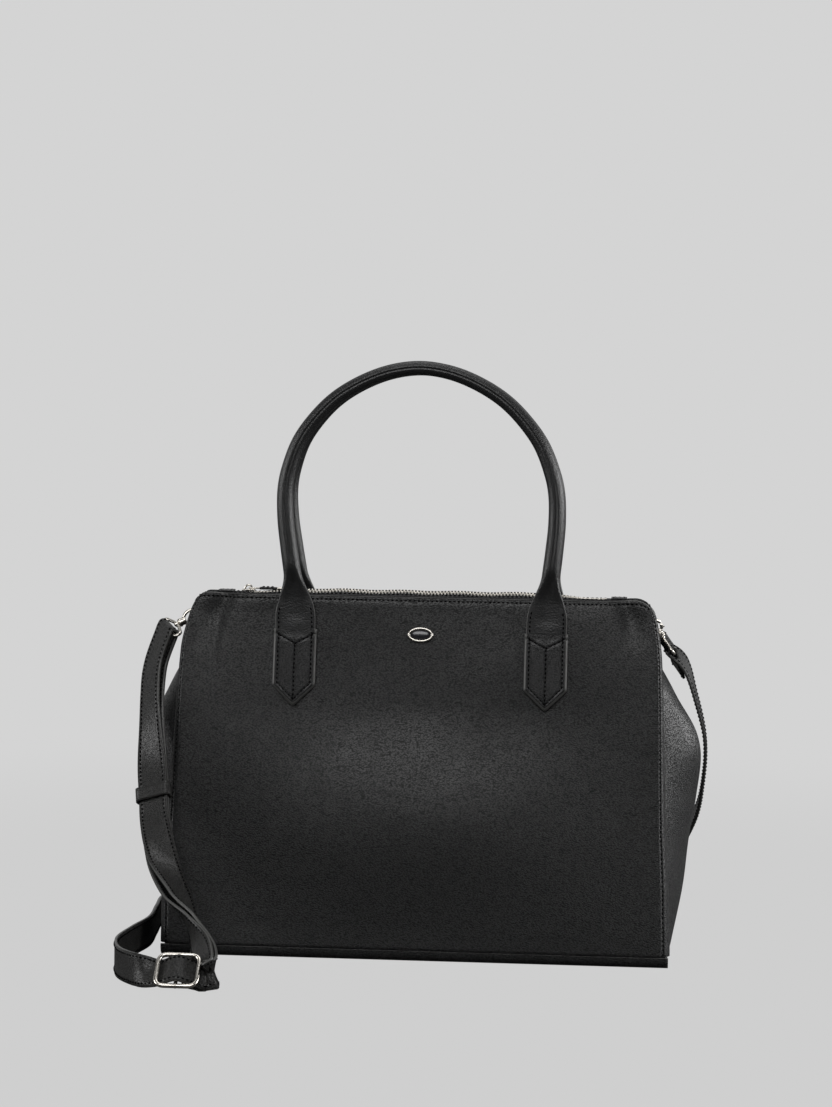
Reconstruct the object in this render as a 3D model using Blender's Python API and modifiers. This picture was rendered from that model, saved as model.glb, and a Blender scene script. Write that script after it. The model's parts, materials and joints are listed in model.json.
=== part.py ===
"""A zipped shopper bag: sewn panels, rolled handles, a top zip and a clip-on shoulder strap.

The origin is the centre of the base's underside. The front faces -Y, up is +Z, metres.
"""
import math

import bmesh
import bpy
from mathutils import Matrix, Vector

# Driving dimensions of the sewn body
body_height = 0.256
base_width = 0.360
base_depth = 0.140
top_depth = 0.030
gusset_reach = 0.030
panel_thickness = 0.0022
gusset_thickness = 0.0014
base_round = 0.010
top_round = 0.004
band_height = 0.008
base_fillet = 0.0055
base_inset = 0.0010
gusset_top_drop = 0.006
panel_belly = 0.008
seam_gap = 0.0017
seam_lap = 0.0003
gap = 0.0003
merge_distance = 1e-6
sharp_angle = math.radians(35)
bevel_share = 0.24

# Inner pieces
board_thickness = 0.0020
board_margin = 0.0105
lining_thickness = 0.0010
lining_clearance = 0.0085
lining_depth_clearance = 0.0062
lining_drop = 0.022
facing_thickness = 0.0012
facing_height = 0.028
facing_width = 0.286

# Zip
zip_pitch = 0.0024
tooth_width = 0.00100
chain_width = 0.0054
tooth_overlap = 0.0008
bead_width = 0.0008
chain_thickness = 0.0022
tape_thickness = 0.0006
tape_reach = 0.0112
zip_drop = 0.0005
zip_left = -0.150
zip_right = 0.147
chain_right = 0.134
slider_place = -0.123
slider_length = 0.0095
slider_width = 0.0084
slider_plate = 0.0010
post_size = 0.0016
bridge_rise = 0.0036
bridge_length = 0.0056
bridge_wire = 0.0014
end_tab_length = 0.0115
end_tab_width = 0.016
end_tab_thickness = 0.0012
pull_link_length = 0.0080
pull_link_width = 0.0052
pull_link_thickness = 0.0010
pull_link_bar = 0.0012
pull_tag_length = 0.0125
pull_tag_width = 0.0058
pull_tag_thickness = 0.0018
pull_tip_length = 0.0058

# Handles
tab_spacing = 0.181
tab_width = 0.029
tab_thickness = 0.0030
tab_drop = 0.078
crease_drop = 0.027
handle_rise = 0.1905
handle_span = 0.196
handle_top_radius = 0.0052
handle_leg_radius = 0.0065
handle_lean = 0.0125
handle_sway = 0.0040
flare_start = 0.010
flare_end = 0.042
tube_start = 0.050

# Oval stud on the front panel
stud_width = 0.0167
stud_height = 0.0092
stud_wire = 0.0009
stud_drop = 0.028
stud_plate = 0.0016

# Side rings and swivel hooks
ring_drop = 0.012
ring_half_width = 0.0080
ring_depth = 0.0105
ring_wire = 0.0012
chape_lead = 0.0082
ring_clearance = 0.0022
chape_width = 0.0110
chape_thickness = 0.0024
chape_length = 0.024
hook_length = 0.0135
hook_half_width = 0.0050
hook_wire = 0.0012
ring_seat = 0.0036
collar_radius = 0.0032
collar_length = 0.0045
swivel_pin = 0.0011
swivel_clearance = 0.0003
eye_depth = 0.0072
eye_half_width = 0.0142
eye_wire = 0.0012
gate_radius = 0.0011

# Shoulder strap
strap_width = 0.022
strap_thickness = 0.0020
strap_fold_gap = 0.0007
keeper_length = 0.010
keeper_thickness = 0.0016
keeper_clearance = 0.0005
buckle_length = 0.031
buckle_height = 0.0296
buckle_wire = 0.0016
buckle_bar = 0.0013

# Heights and reaches of the body, from the base up, as shares of its own sizes
body_shares = (
    (0.00, 1.000, 0.03),
    (0.05, 1.000, 0.16),
    (0.18, 0.985, 0.48),
    (0.33, 0.970, 0.72),
    (0.45, 0.962, 0.90),
    (0.59, 0.955, 1.00),
    (0.73, 0.948, 0.56),
    (0.84, 0.940, 0.10),
    (0.90, 0.932, -0.14),
    (0.95, 0.922, -0.36),
    (1.00, 0.900, -0.44),
)
belly_share = 0.70
crest_power_share = 1.7
flat_share = 0.8

half_base_width = base_width / 2
half_base_depth = base_depth / 2
lining_height = body_height - lining_drop
ring_height = body_height - ring_drop
lean = math.atan((base_depth - top_depth) / 2 / body_height)
plane_down = Vector((0, -math.sin(lean), -math.cos(lean)))
plane_out = Vector((0, -math.cos(lean), math.sin(lean)))
front_top = Vector((0, -top_depth / 2, body_height))


# Scene and materials
for item in list(bpy.data.objects):
    bpy.data.objects.remove(item)
model = bpy.data.collections.new("shopper_bag")
cutters = bpy.data.collections.new("cutters")
bpy.context.scene.collection.children.link(model)
bpy.context.scene.collection.children.link(cutters)

finishes = {
    "panel_leather": ((0.030, 0.032, 0.034), 0.52, 0.0),
    "gusset_leather": ((0.045, 0.045, 0.043), 0.55, 0.0),
    "handle_leather": ((0.020, 0.020, 0.021), 0.45, 0.0),
    "strap_leather": ((0.035, 0.034, 0.032), 0.5, 0.0),
    "lining_cloth": ((0.050, 0.050, 0.055), 0.9, 0.0),
    "board": ((0.30, 0.27, 0.22), 0.9, 0.0),
    "zip_tape": ((0.015, 0.015, 0.016), 0.85, 0.0),
    "zip_metal": ((0.62, 0.61, 0.58), 0.3, 1.0),
    "nickel": ((0.66, 0.64, 0.60), 0.18, 1.0),
    "stud_face": ((0.020, 0.020, 0.022), 0.25, 0.0),
}


def material(finish):
    """One Principled material for each object, from the finish it is given."""
    colour, roughness, metallic = finishes[finish]
    made = bpy.data.materials.new(finish)
    made.use_nodes = True
    shader = made.node_tree.nodes["Principled BSDF"]
    shader.inputs["Base Color"].default_value = (*colour, 1)
    shader.inputs["Roughness"].default_value = roughness
    shader.inputs["Metallic"].default_value = metallic
    return made


def add_object(name, mesh, finish, group=model):
    """A named object for a mesh or a curve."""
    made = bpy.data.objects.new(name, mesh)
    group.objects.link(made)
    if group is cutters:
        made.hide_render = True
        made.display_type = "WIRE"
    else:
        mesh.materials.append(material(finish))
    return made


def mesh_object(name, bm, finish, smooth=True, group=model):
    """A named object for a bmesh, which is freed."""
    mesh = bpy.data.meshes.new(name)
    bmesh.ops.recalc_face_normals(bm, faces=bm.faces)
    bm.to_mesh(mesh)
    bm.free()
    if smooth:
        mesh.shade_smooth()
        mesh.set_sharp_from_angle(angle=sharp_angle)
    return add_object(name, mesh, finish, group)


def sheet(name, columns, rows, place, thickness, finish):
    """A sheet of material: a grid laid on its middle surface by place(u, v), then thickened."""
    bm = bmesh.new()
    bmesh.ops.create_grid(bm, x_segments=columns, y_segments=rows, size=1)
    for vertex in bm.verts:
        vertex.co = place(vertex.co.x, (vertex.co.y + 1) / 2)
    made = mesh_object(name, bm, finish)
    thicken(made, thickness)
    return made


def thicken(made, thickness):
    """Give an open surface its thickness, half to each side."""
    wall = made.modifiers.new("wall", "SOLIDIFY")
    wall.thickness = thickness
    wall.offset = 0
    wall.use_even_offset = True


def loft(name, rings, finish):
    """A solid through rings of points, capped at both ends."""
    bm = bmesh.new()
    loops = [[bm.verts.new(point) for point in ring] for ring in rings]
    count = len(loops[0])
    for low, high in zip(loops, loops[1:]):
        for side in range(count):
            after = (side + 1) % count
            bm.faces.new((low[side], low[after], high[after], high[side]))
    bm.faces.new(loops[0])
    bm.faces.new(reversed(loops[-1]))
    return mesh_object(name, bm, finish)


def box(name, low, high, finish, bevel=0, group=model):
    """A box between two corners, its long edges rounded when a bevel is given."""
    bm = bmesh.new()
    bmesh.ops.create_cube(bm, size=1)
    low, high = Vector(low), Vector(high)
    bmesh.ops.scale(bm, vec=high - low, verts=bm.verts)
    bmesh.ops.translate(bm, vec=(low + high) / 2, verts=bm.verts)
    made = mesh_object(name, bm, finish, smooth=False, group=group)
    if bevel:
        rounding = made.modifiers.new("rounding", "BEVEL")
        rounding.width = bevel
        rounding.segments = 2
    return made


def rod(name, start, end, radius, finish, sides=14, group=model):
    """A round rod between two points."""
    start, end = Vector(start), Vector(end)
    along = end - start
    bm = bmesh.new()
    bmesh.ops.create_cone(bm, cap_ends=True, segments=sides, radius1=radius, radius2=radius,
                          depth=along.length)
    turn = along.to_track_quat("Z", "Y").to_matrix().to_4x4()
    bmesh.ops.transform(bm, matrix=Matrix.Translation((start + end) / 2) @ turn, verts=bm.verts)
    return mesh_object(name, bm, finish, group=group)


def boolean(made, other, operation):
    """Cut an object by another, or join the two."""
    step = made.modifiers.new(operation.lower(), "BOOLEAN")
    step.operation = operation
    step.object = other
    step.solver = "EXACT"


def wire(name, points, radius, finish, cyclic=False, detail=2, group=model):
    """A bent wire through points, as a mesh."""
    curve = bpy.data.curves.new(name, "CURVE")
    curve.dimensions = "3D"
    spline = curve.splines.new("POLY")
    spline.points.add(len(points) - 1)
    for knot, point in zip(spline.points, points):
        knot.co = (*point, 1)
    spline.use_cyclic_u = cyclic
    curve.bevel_depth = radius
    curve.bevel_resolution = detail
    curve.use_fill_caps = not cyclic
    return to_mesh(name, curve, finish, group)


def plate(name, outline, thickness, finish, place, group=model):
    """A flat plate of an outline, turned and moved by a matrix."""
    curve = bpy.data.curves.new(name, "CURVE")
    curve.dimensions = "2D"
    curve.fill_mode = "BOTH"
    spline = curve.splines.new("POLY")
    spline.points.add(len(outline) - 1)
    for knot, point in zip(spline.points, outline):
        knot.co = (point[0], point[1], 0, 1)
    spline.use_cyclic_u = True
    curve.extrude = thickness / 2
    return to_mesh(name, curve, finish, group, place)


def to_mesh(name, curve, finish, group, place=Matrix.Identity(4)):
    """Turn a curve into a closed mesh object and remove the curve."""
    guide = bpy.data.objects.new(name + "_guide", curve)
    bpy.context.scene.collection.objects.link(guide)
    evaluated = guide.evaluated_get(bpy.context.evaluated_depsgraph_get())
    mesh = bpy.data.meshes.new_from_object(evaluated)
    bpy.data.objects.remove(guide)
    bm = bmesh.new()
    bm.from_mesh(mesh)
    bmesh.ops.remove_doubles(bm, verts=bm.verts, dist=merge_distance)
    bmesh.ops.transform(bm, matrix=place, verts=bm.verts)
    return mesh_object(name, bm, finish, group=group)


def smooth_value(knots, values, at):
    """A smooth curve through values at rising knots."""
    last = len(knots) - 1
    span = max(index for index in range(last) if knots[index] <= at or index == 0)
    t = (at - knots[span]) / (knots[span + 1] - knots[span])
    before, after = max(span - 1, 0), min(span + 2, last)
    start, end = values[span], values[span + 1]
    start_slope = (end - values[before]) / (knots[span + 1] - knots[before])
    end_slope = (values[after] - start) / (knots[after] - knots[span])
    width = knots[span + 1] - knots[span]
    return ((2 * t ** 3 - 3 * t ** 2 + 1) * start + (t ** 3 - 2 * t ** 2 + t) * width * start_slope
            + (3 * t ** 2 - 2 * t ** 3) * end + (t ** 3 - t ** 2) * width * end_slope)


# Shape of the body
body_knots = [row[0] for row in body_shares]


def half_width(height):
    """Half the width at the side seams, at a height."""
    return half_base_width * smooth_value(body_knots, [row[1] for row in body_shares], height / body_height)


def reach(height):
    """How far the gusset stands out past the seams, negative where it is folded in."""
    return gusset_reach * smooth_value(body_knots, [row[2] for row in body_shares], height / body_height)


def half_depth(height):
    """Half the depth between the flat planes of the panels."""
    return half_base_depth + (top_depth / 2 - half_base_depth) * height / body_height


def edge_round(height):
    """Radius at which a panel turns into its side seam."""
    return base_round + (top_round - base_round) * height / body_height


def panel_point(u, height, inset):
    """A point of the front panel, u from -1 to 1 across, inset from its outer face."""
    radius = edge_round(height)
    flat = half_width(height) - radius
    share = min(abs(u) / flat_share, 1)
    turn = max(abs(u) - flat_share, 0) / (1 - flat_share) * math.pi / 2
    inner = radius - inset
    rise = min(height / body_height / belly_share, 1)
    belly = panel_belly * math.sin(math.pi * rise) ** 2 * math.cos(share * math.pi / 2) ** 2
    x = flat * share + inner * math.sin(turn)
    y = half_depth(height) - radius + inner * math.cos(turn) + belly
    return Vector((math.copysign(x, u), -y, height))


def gusset_point(u, height, proud=0):
    """A point of the right gusset's middle surface, u from the front seam to the back one."""
    seam = half_depth(height) - edge_round(height)
    y = u * (seam + seam_lap)
    crest = max(1 - (abs(y) / seam) ** crest_power_share, 0)
    sunk = panel_thickness + seam_gap + gusset_thickness / 2
    return Vector((half_width(height) - sunk + reach(height) * crest + proud, y, height))


def back(point):
    """The same point on the back of the bag."""
    return Vector((point.x, -point.y, point.z))


def mirrored(point, side):
    """The same point on the left (-1) or the right (1)."""
    return Vector((point.x * side, point.y, point.z))


# Panels, gussets and base
panel_columns = 20
gusset_columns = 10
body_rows = 14
facing_columns = 8
facing_steps = 3
panel_low = band_height + gap * 2


def panel_height(v):
    return panel_low + (body_height - panel_low) * v


def front_place(u, v):
    return panel_point(u, panel_height(v), panel_thickness / 2)


sheet("front_panel", panel_columns, body_rows, front_place, panel_thickness, "panel_leather")
sheet("back_panel", panel_columns, body_rows, lambda u, v: back(front_place(u, v)), panel_thickness,
      "panel_leather")

gusset_low = panel_thickness + gap
gusset_high = body_height - gusset_top_drop


def gusset_place(u, v):
    return gusset_point(u, gusset_low + (gusset_high - gusset_low) * v)


for side, label in ((-1, "left"), (1, "right")):
    sheet(f"{label}_gusset", gusset_columns, body_rows, lambda u, v: mirrored(gusset_place(u, v), side),
          gusset_thickness, "gusset_leather")

base_half_width = half_width(0) - base_inset
band_half_depth = half_depth(band_height) - panel_thickness / 2
base_columns = 4
base_rows = 32
flat_rows = 24
turn_rows = 30


def base_place(u, v):
    """The base sheet: flat underneath, turned up in a band along the front and the back."""
    row = abs(2 * v - 1) * base_rows
    flat = band_half_depth - base_fillet
    low = panel_thickness / 2
    turn = min(max(row - flat_rows, 0) / (turn_rows - flat_rows), 1) * math.pi / 2
    y = flat * min(row / flat_rows, 1) + base_fillet * math.sin(turn)
    z = low + base_fillet * (1 - math.cos(turn))
    z += (band_height - z) * max(row - turn_rows, 0) / (base_rows - turn_rows)
    return Vector((base_half_width * u, math.copysign(y, 2 * v - 1), z))


sheet("base_panel", base_columns, base_rows, base_place, panel_thickness, "panel_leather")

board_low = panel_thickness + gap
board_high = board_low + board_thickness
board_half_width = half_width(0) - board_margin
board_half_depth = half_base_depth - board_margin
box("base_board", (-board_half_width, -board_half_depth, board_low),
    (board_half_width, board_half_depth, board_high), "board", bevel=board_thickness * bevel_share)

# Lining: a cloth box, open at the top
lining_low = board_high + gap + lining_thickness / 2


def lining_point(x, y, z):
    """Where a point of the unit box goes, x and y from -1 to 1 and z from 0 to 1."""
    height = lining_low + (lining_height - lining_low) * z
    across = half_width(height) + min(reach(height), 0) - lining_clearance
    return Vector((x * across, y * (half_depth(height) - lining_depth_clearance), height))


lining_cuts = 3
lining = bmesh.new()
bmesh.ops.create_cube(lining, size=2)
lid = max(lining.faces, key=lambda face: face.calc_center_median().z)
bmesh.ops.delete(lining, geom=[lid], context="FACES_ONLY")
bmesh.ops.subdivide_edges(lining, edges=lining.edges[:], cuts=lining_cuts, use_grid_fill=True)
for vertex in lining.verts:
    vertex.co = lining_point(vertex.co.x, vertex.co.y, (vertex.co.z + 1) / 2)
thicken(mesh_object("lining", lining, "lining_cloth"), lining_thickness)

# Facings inside the top edge
facing_high = body_height - zip_drop - tape_thickness / 2 - gap
facing_low = facing_high - facing_height


def facing_place(u, v):
    height = facing_low + facing_height * v
    y = half_depth(height) - panel_thickness - gap - facing_thickness / 2
    return Vector((u * facing_width / 2, -y, height))


for turn, label in ((lambda point: point, "front"), (back, "back")):
    sheet(f"{label}_facing", facing_columns, facing_steps, lambda u, v: turn(facing_place(u, v)),
          facing_thickness, "panel_leather")

# Zip: two tapes, two rows of teeth that mesh, end tabs, slider and pull
chain_height = body_height - zip_drop
for face, label in ((-1, "front"), (1, "back")):
    near, far = face * chain_width / 2, face * tape_reach
    box(f"zip_tape_{label}", (zip_left, min(near + face * gap, far), chain_height - tape_thickness / 2),
        (zip_right, max(near + face * gap, far), chain_height + tape_thickness / 2), "zip_tape")

post_place = slider_place - slider_length / 2
chain_left = post_place + post_size
tooth_count = int((chain_right - chain_left) / zip_pitch / 2) * 2


def tooth_row(face):
    """Outline of one row of teeth: a bead along the tape's edge and a tooth at every pitch."""
    bead_edge = -face * (chain_width / 2 - bead_width)
    tip = face * tooth_overlap
    start = chain_left + (zip_pitch / 2 if face > 0 else 0)
    points = [(chain_left, -face * chain_width / 2)]
    for tooth in range(tooth_count):
        low = start + tooth * zip_pitch + (zip_pitch / 2 - tooth_width) / 2
        points += [(low, bead_edge), (low, tip), (low + tooth_width, tip), (low + tooth_width, bead_edge)]
    points.append((start + tooth_count * zip_pitch, bead_edge))
    points.append((start + tooth_count * zip_pitch, -face * chain_width / 2))
    points.insert(1, (chain_left, bead_edge))
    return points


for face, label in ((1, "front"), (-1, "back")):
    plate(f"zip_teeth_{label}", tooth_row(face), chain_thickness, "zip_metal",
          Matrix.Translation((0, 0, chain_height)))

tab_low = chain_height + tape_thickness / 2 + gap
for start, label in ((zip_left, "left"), (chain_right + zip_pitch, "right")):
    box(f"zip_end_{label}", (start, -end_tab_width / 2, tab_low),
        (start + end_tab_length, end_tab_width / 2, tab_low + end_tab_thickness), "handle_leather",
        bevel=end_tab_thickness * bevel_share)

slider_low = chain_height - chain_thickness / 2 - gap - slider_plate
slider_high = chain_height + chain_thickness / 2 + gap + slider_plate
slider = box("zip_slider", (slider_place - slider_length, -slider_width / 2, slider_high - slider_plate),
             (slider_place, slider_width / 2, slider_high), "nickel", bevel=slider_plate * bevel_share)
lower = box("slider_lower_plate", (slider_place - slider_length, -slider_width / 2, slider_low),
            (slider_place, slider_width / 2, slider_low + slider_plate), "nickel", group=cutters)
post = box("slider_post", (post_place - post_size, -post_size / 2, slider_low + slider_plate / 2),
           (post_place + post_size / 2, post_size / 2, slider_high - slider_plate / 2), "nickel", group=cutters)
bridge_steps = 8
bridge_points = []
for step in range(bridge_steps + 1):
    turn = math.pi * step / bridge_steps
    bridge_points.append((post_place - math.cos(turn) * bridge_length / 2, 0,
                          slider_high - slider_plate / 2 + math.sin(turn) * bridge_rise))
bridge = wire("slider_bridge", bridge_points, bridge_wire / 2, "nickel", group=cutters)
for piece in (lower, post, bridge):
    boolean(slider, piece, "UNION")

# The pull lies along the chain: a metal link, a leather tag and a metal tip
pull_height = slider_high + gap
link_start = post_place + bridge_length / 2 - bridge_wire - gap - pull_link_bar
link_inner = pull_link_width / 2 - pull_link_bar
link_end = link_start + pull_link_length
link = box("pull_link", (link_start, -pull_link_width / 2, pull_height),
           (link_end, pull_link_width / 2, pull_height + pull_link_thickness), "nickel")
link_hole = box("link_hole", (link_start + pull_link_bar, -link_inner, pull_height - pull_link_thickness),
                (link_end - pull_link_bar * 2, link_inner, pull_height + pull_link_thickness * 2),
                "nickel", group=cutters)
boolean(link, link_hole, "DIFFERENCE")

pull_middle = pull_height + pull_link_thickness / 2
tag_start = link_end + gap
tag_end = tag_start + pull_tag_length
box("pull_tag", (tag_start, -pull_tag_width / 2, pull_middle - pull_tag_thickness / 2),
    (tag_end, pull_tag_width / 2, pull_middle + pull_tag_thickness / 2), "handle_leather",
    bevel=pull_tag_thickness * bevel_share)
box("pull_tip", (tag_end + gap, -pull_tag_width / 2, pull_middle - pull_tag_thickness / 2),
    (tag_end + gap + pull_tip_length, pull_tag_width / 2, pull_middle + pull_tag_thickness / 2), "nickel",
    bevel=pull_tag_thickness * bevel_share)

# Handle tabs sewn to the panels, and the handles that bend at the crease above them
half_turn = Matrix.Rotation(math.pi, 4, "Z")
faces = ((Matrix.Identity(4), "front"), (half_turn, "back"))


def panel_frame(x, drop, out):
    """A frame on the front panel's plane: x across, y up the panel, z outwards."""
    place = front_top + plane_down * drop + plane_out * out + Vector((x, 0, 0))
    turn = Matrix((Vector((1, 0, 0)), -plane_down, plane_out)).transposed().to_4x4()
    return Matrix.Translation(place) @ turn


tab_half = tab_width / 2
tab_top = -crease_drop - gap
tab_outline = [(-tab_half, tab_top), (-tab_half, tab_half - tab_drop), (0, -tab_drop),
               (tab_half, tab_half - tab_drop), (tab_half, tab_top)]
for turn, face in faces:
    for side, label in ((-1, "left"), (1, "right")):
        across = side * tab_spacing / 2 if face == "front" else -side * tab_spacing / 2
        plate(f"{face}_tab_{label}", tab_outline, tab_thickness, "handle_leather",
              turn @ panel_frame(across, 0, gap + tab_thickness / 2))

# The arch as shares of its half span and its rise, from the left crease to the middle and one past it
arch_shares = ((tab_spacing / handle_span, 0.0), (0.930, 0.10), (0.947, 0.20), (0.975, 0.31), (0.998, 0.42),
               (0.998, 0.53), (0.962, 0.62), (0.885, 0.72), (0.760, 0.81), (0.610, 0.885), (0.420, 0.945),
               (0.215, 0.985), (0.0, 1.0), (-0.215, 0.985))
section_sides = 12
fine_steps = 400
flare_shares = (0.0, 0.10, 0.20, 0.34, 0.48, 0.62, 0.74, 0.86, 1.0)
arch_steps = 17
flat_power_share = 0.6


def ease(t):
    """A smooth step from 0 to 1."""
    t = min(max(t, 0), 1)
    return t * t * (3 - 2 * t)


def along_arch():
    """Points (x, rise, length so far) of half the arch, close together."""
    knots = list(range(len(arch_shares)))
    across = [share[0] for share in arch_shares]
    up = [share[1] for share in arch_shares]
    points, run = [], 0
    for step in range(fine_steps + 1):
        at = knots[-2] * step / fine_steps
        x = -handle_span / 2 * smooth_value(knots, across, at)
        z = handle_rise * smooth_value(knots, up, at)
        if points:
            run += math.hypot(x - points[-1][0], z - points[-1][1])
        points.append((x, z, run))
    return points


def handle_rings():
    """Rings from a flat end, through a round tube over the top, to the other flat end."""
    half = along_arch()
    whole = half[-1][2]
    distances = [tube_start * share for share in flare_shares]
    distances += [tube_start + (whole - tube_start) * step / arch_steps for step in range(1, arch_steps + 1)]
    foot = front_top + plane_down * (crease_drop - gap * 2) + plane_out * (gap + tab_thickness / 2)
    up = Vector((0, handle_lean, handle_rise)).normalized()
    out = Vector((0, -up.z, up.y))
    rings = []
    for distance in distances:
        index = min(range(len(half)), key=lambda point: abs(half[point][2] - distance))
        low, high = half[max(index - 1, 0)], half[min(index + 1, fine_steps)]
        x, rise, run = half[index]
        tangent = (Vector((high[0] - low[0], 0, 0)) + up * (high[1] - low[1])).normalized()
        if distance == whole:
            tangent = Vector((1, 0, 0))
        if distance == 0:
            tangent = up
        across = out.cross(tangent)
        radius = handle_leg_radius + (handle_top_radius - handle_leg_radius) * ease(rise / handle_rise)
        narrow = ease((distance - flare_start) / (flare_end - flare_start))
        thick = ease((distance - flare_end / 2) / (tube_start - flare_end / 2))
        half_across = tab_half + (radius - tab_half) * narrow
        half_out = tab_thickness / 2 + (radius - tab_thickness / 2) * thick
        power = 1 - flat_power_share * (1 - thick)
        centre = foot + Vector((x, 0, 0)) + up * rise
        ring = []
        for corner in range(section_sides):
            turn = 2 * math.pi * (corner + 0.5) / section_sides
            wide = math.copysign(abs(math.cos(turn)) ** power, math.cos(turn))
            tall = math.copysign(abs(math.sin(turn)) ** power, math.sin(turn))
            ring.append(centre + across * (half_across * wide) + out * (half_out * tall))
        rings.append(ring)
    rings += [[mirrored(point, -1) for point in ring] for ring in reversed(rings[:-1])]
    return [[swayed(point, foot.z) for point in ring] for ring in rings]


def swayed(point, foot):
    """The arch leans a little to one side, more towards its top."""
    return point - Vector((handle_sway * ease((point.z - foot) / handle_rise), 0, 0))


for place, face in ((lambda point: point, "front"), (back, "back")):
    loft(f"{face}_handle", [[place(point) for point in ring] for ring in handle_rings()], "handle_leather")

crease = front_top + plane_down * crease_drop + plane_out * (gap + tab_thickness)

# Oval stud on the front panel: a plain plate in a round-wire rim
stud_sides = 32
stud_points = [(math.cos(math.tau * step / stud_sides), math.sin(math.tau * step / stud_sides))
               for step in range(stud_sides)]
stud_frame = panel_frame(0, stud_drop, gap + stud_wire)
rim = [stud_frame @ Vector((x * stud_width / 2, y * stud_height / 2, 0)) for x, y in stud_points]
wire("stud_rim", rim, stud_wire, "nickel", cyclic=True, detail=1)
plate_inset = stud_wire + gap
plate("stud_plate", [(x * (stud_width / 2 - plate_inset), y * (stud_height / 2 - plate_inset))
                     for x, y in stud_points], stud_plate, "stud_face",
      panel_frame(0, stud_drop, gap + stud_plate / 2))

# Side rings: a chape sewn to the gusset, the ring in its fold, and the swivel hook on the ring
chape_rise_share = 0.45
chape_columns = 4
chape_rows = 8
chape_slope_share = 0.62
chape_sunk = (gusset_thickness + chape_thickness) / 2 + gap
ring_direction = Vector((0.80, 0, -0.60)).normalized()
ring_power_share = 2 / 3
ring_steps = 16
hook_directions = {"left": Vector((-0.83, -0.354, -0.43)), "right": Vector((0.45, 0.62, -0.64))}
bar_directions = {"left": Vector((0.50, -0.80, -0.30)), "right": Vector((0.20, -0.95, -0.22))}
hook_open = math.radians(42)
hook_latch = math.radians(100)
gate_gap = math.radians(19)
hook_steps = 18
eye_shares = ((0.25, 0), (0.92, 0.36), (1.0, 0.56), (1.0, 1.0))
hole_share = 1 / 3
gate_sides = 10
eye_bars = {}
hook_axes = {}


def ring_place(side):
    """Where the ring's straight bar lies, clear of the gusset and out by the chape's foot."""
    seam = half_depth(ring_height) - edge_round(ring_height) + seam_lap
    widest = gusset_point((ring_half_width + ring_wire) / seam, ring_height, gusset_thickness / 2)
    foot = gusset_point(0, ring_height - chape_length)
    return Vector((side * (max(widest.x, foot.x - chape_lead) + ring_clearance), 0, ring_height))


def chape_place(u, v):
    """The chape lies on the gusset and rises at its top to the ring's bar."""
    height = ring_height - chape_length * (1 - v)
    seam = half_depth(height) - edge_round(height) + seam_lap
    point = gusset_point(u * chape_width / 2 / seam, height, chape_sunk / chape_slope_share)
    rise = ease((v - chape_rise_share) / (1 - chape_rise_share))
    return point + Vector(((ring_place(1).x - point.x) * rise, 0, 0))


def square_frame(along, across):
    """Unit vectors: the first direction, the part of the second square to it, and the third."""
    along = along.normalized()
    across = (across - along * across.dot(along)).normalized()
    return along, across, along.cross(across)


def make_chape(side, label, bar):
    """The folded leather tab that holds the ring's bar."""
    chape = sheet(f"{label}_chape", chape_columns, chape_rows,
                  lambda u, v: mirrored(chape_place(u, v), side), chape_thickness, "handle_leather")
    half_chape = Vector((0, chape_width / 2, 0))
    fold = rod(f"{label}_fold", bar - half_chape, bar + half_chape, ring_wire + gap + chape_thickness / 2,
               "nickel", group=cutters)
    bore = rod(f"{label}_bore", bar - half_chape * 2, bar + half_chape * 2, ring_wire + gap, "nickel",
               group=cutters)
    boolean(chape, fold, "UNION")
    boolean(chape, bore, "DIFFERENCE")


def make_ring(label, bar, down):
    """A D-ring: a straight bar and a squarish bow."""
    ring = [bar + Vector((0, -ring_half_width * share, 0)) for share in (0.5, 0, -0.5)]
    for step in range(ring_steps + 1):
        turn = math.pi * step / ring_steps
        wide = math.copysign(abs(math.cos(turn)) ** ring_power_share, math.cos(turn))
        tall = math.sin(turn) ** ring_power_share if 0 < step < ring_steps else 0
        ring.append(bar + Vector((0, ring_half_width * wide, 0)) + down * (ring_depth * tall))
    wire(f"{label}_ring", ring, ring_wire, "nickel", cyclic=True)


def make_hook(label, bar, down):
    """The claw with its collar, the gate that closes it, and the eye that swivels in the collar."""
    along, across = square_frame(hook_directions[label], Vector((0, 1, 0)))[::2]
    base = bar + down * ring_depth + along * (hook_length - hook_wire - ring_seat)
    centre = base - along * hook_length / 2

    def claw_point(turn):
        return (centre + along * (math.cos(turn) * hook_length / 2)
                + across * (math.sin(turn) * hook_half_width))

    bend = [hook_latch + (math.tau - hook_latch) * step / hook_steps for step in range(hook_steps + 1)]
    claw = wire(f"{label}_hook", [claw_point(turn) for turn in bend], hook_wire, "nickel")
    collar = rod(f"{label}_collar", base - along * hook_wire, base + along * collar_length, collar_radius,
                 "nickel", group=cutters)
    hole = rod(f"{label}_hole", base + along * (collar_length * hole_share), base + along * collar_length * 2,
               swivel_pin + swivel_clearance, "nickel", group=cutters)
    boolean(claw, collar, "UNION")
    boolean(claw, hole, "DIFFERENCE")
    rod(f"{label}_gate", claw_point(hook_open), claw_point(hook_latch - gate_gap), gate_radius, "nickel",
        sides=gate_sides)
    hook_axes[label] = (base, along, claw_point(hook_open))

    top = base + along * (collar_length + gap + eye_wire)
    eye_across = square_frame(along, bar_directions[label])[1]
    outline = [(-x, y) for x, y in eye_shares] + [(x, y) for x, y in reversed(eye_shares)]
    eye = wire(f"{label}_eye", [top + eye_across * (x * eye_half_width) + along * (eye_depth * y)
                                for x, y in outline], eye_wire, "nickel", cyclic=True)
    pin = rod(f"{label}_pin", base + along * (collar_length / 2), top, swivel_pin, "nickel", group=cutters)
    boolean(eye, pin, "UNION")
    eye_bars[label] = (top + along * eye_depth, eye_across)


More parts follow.
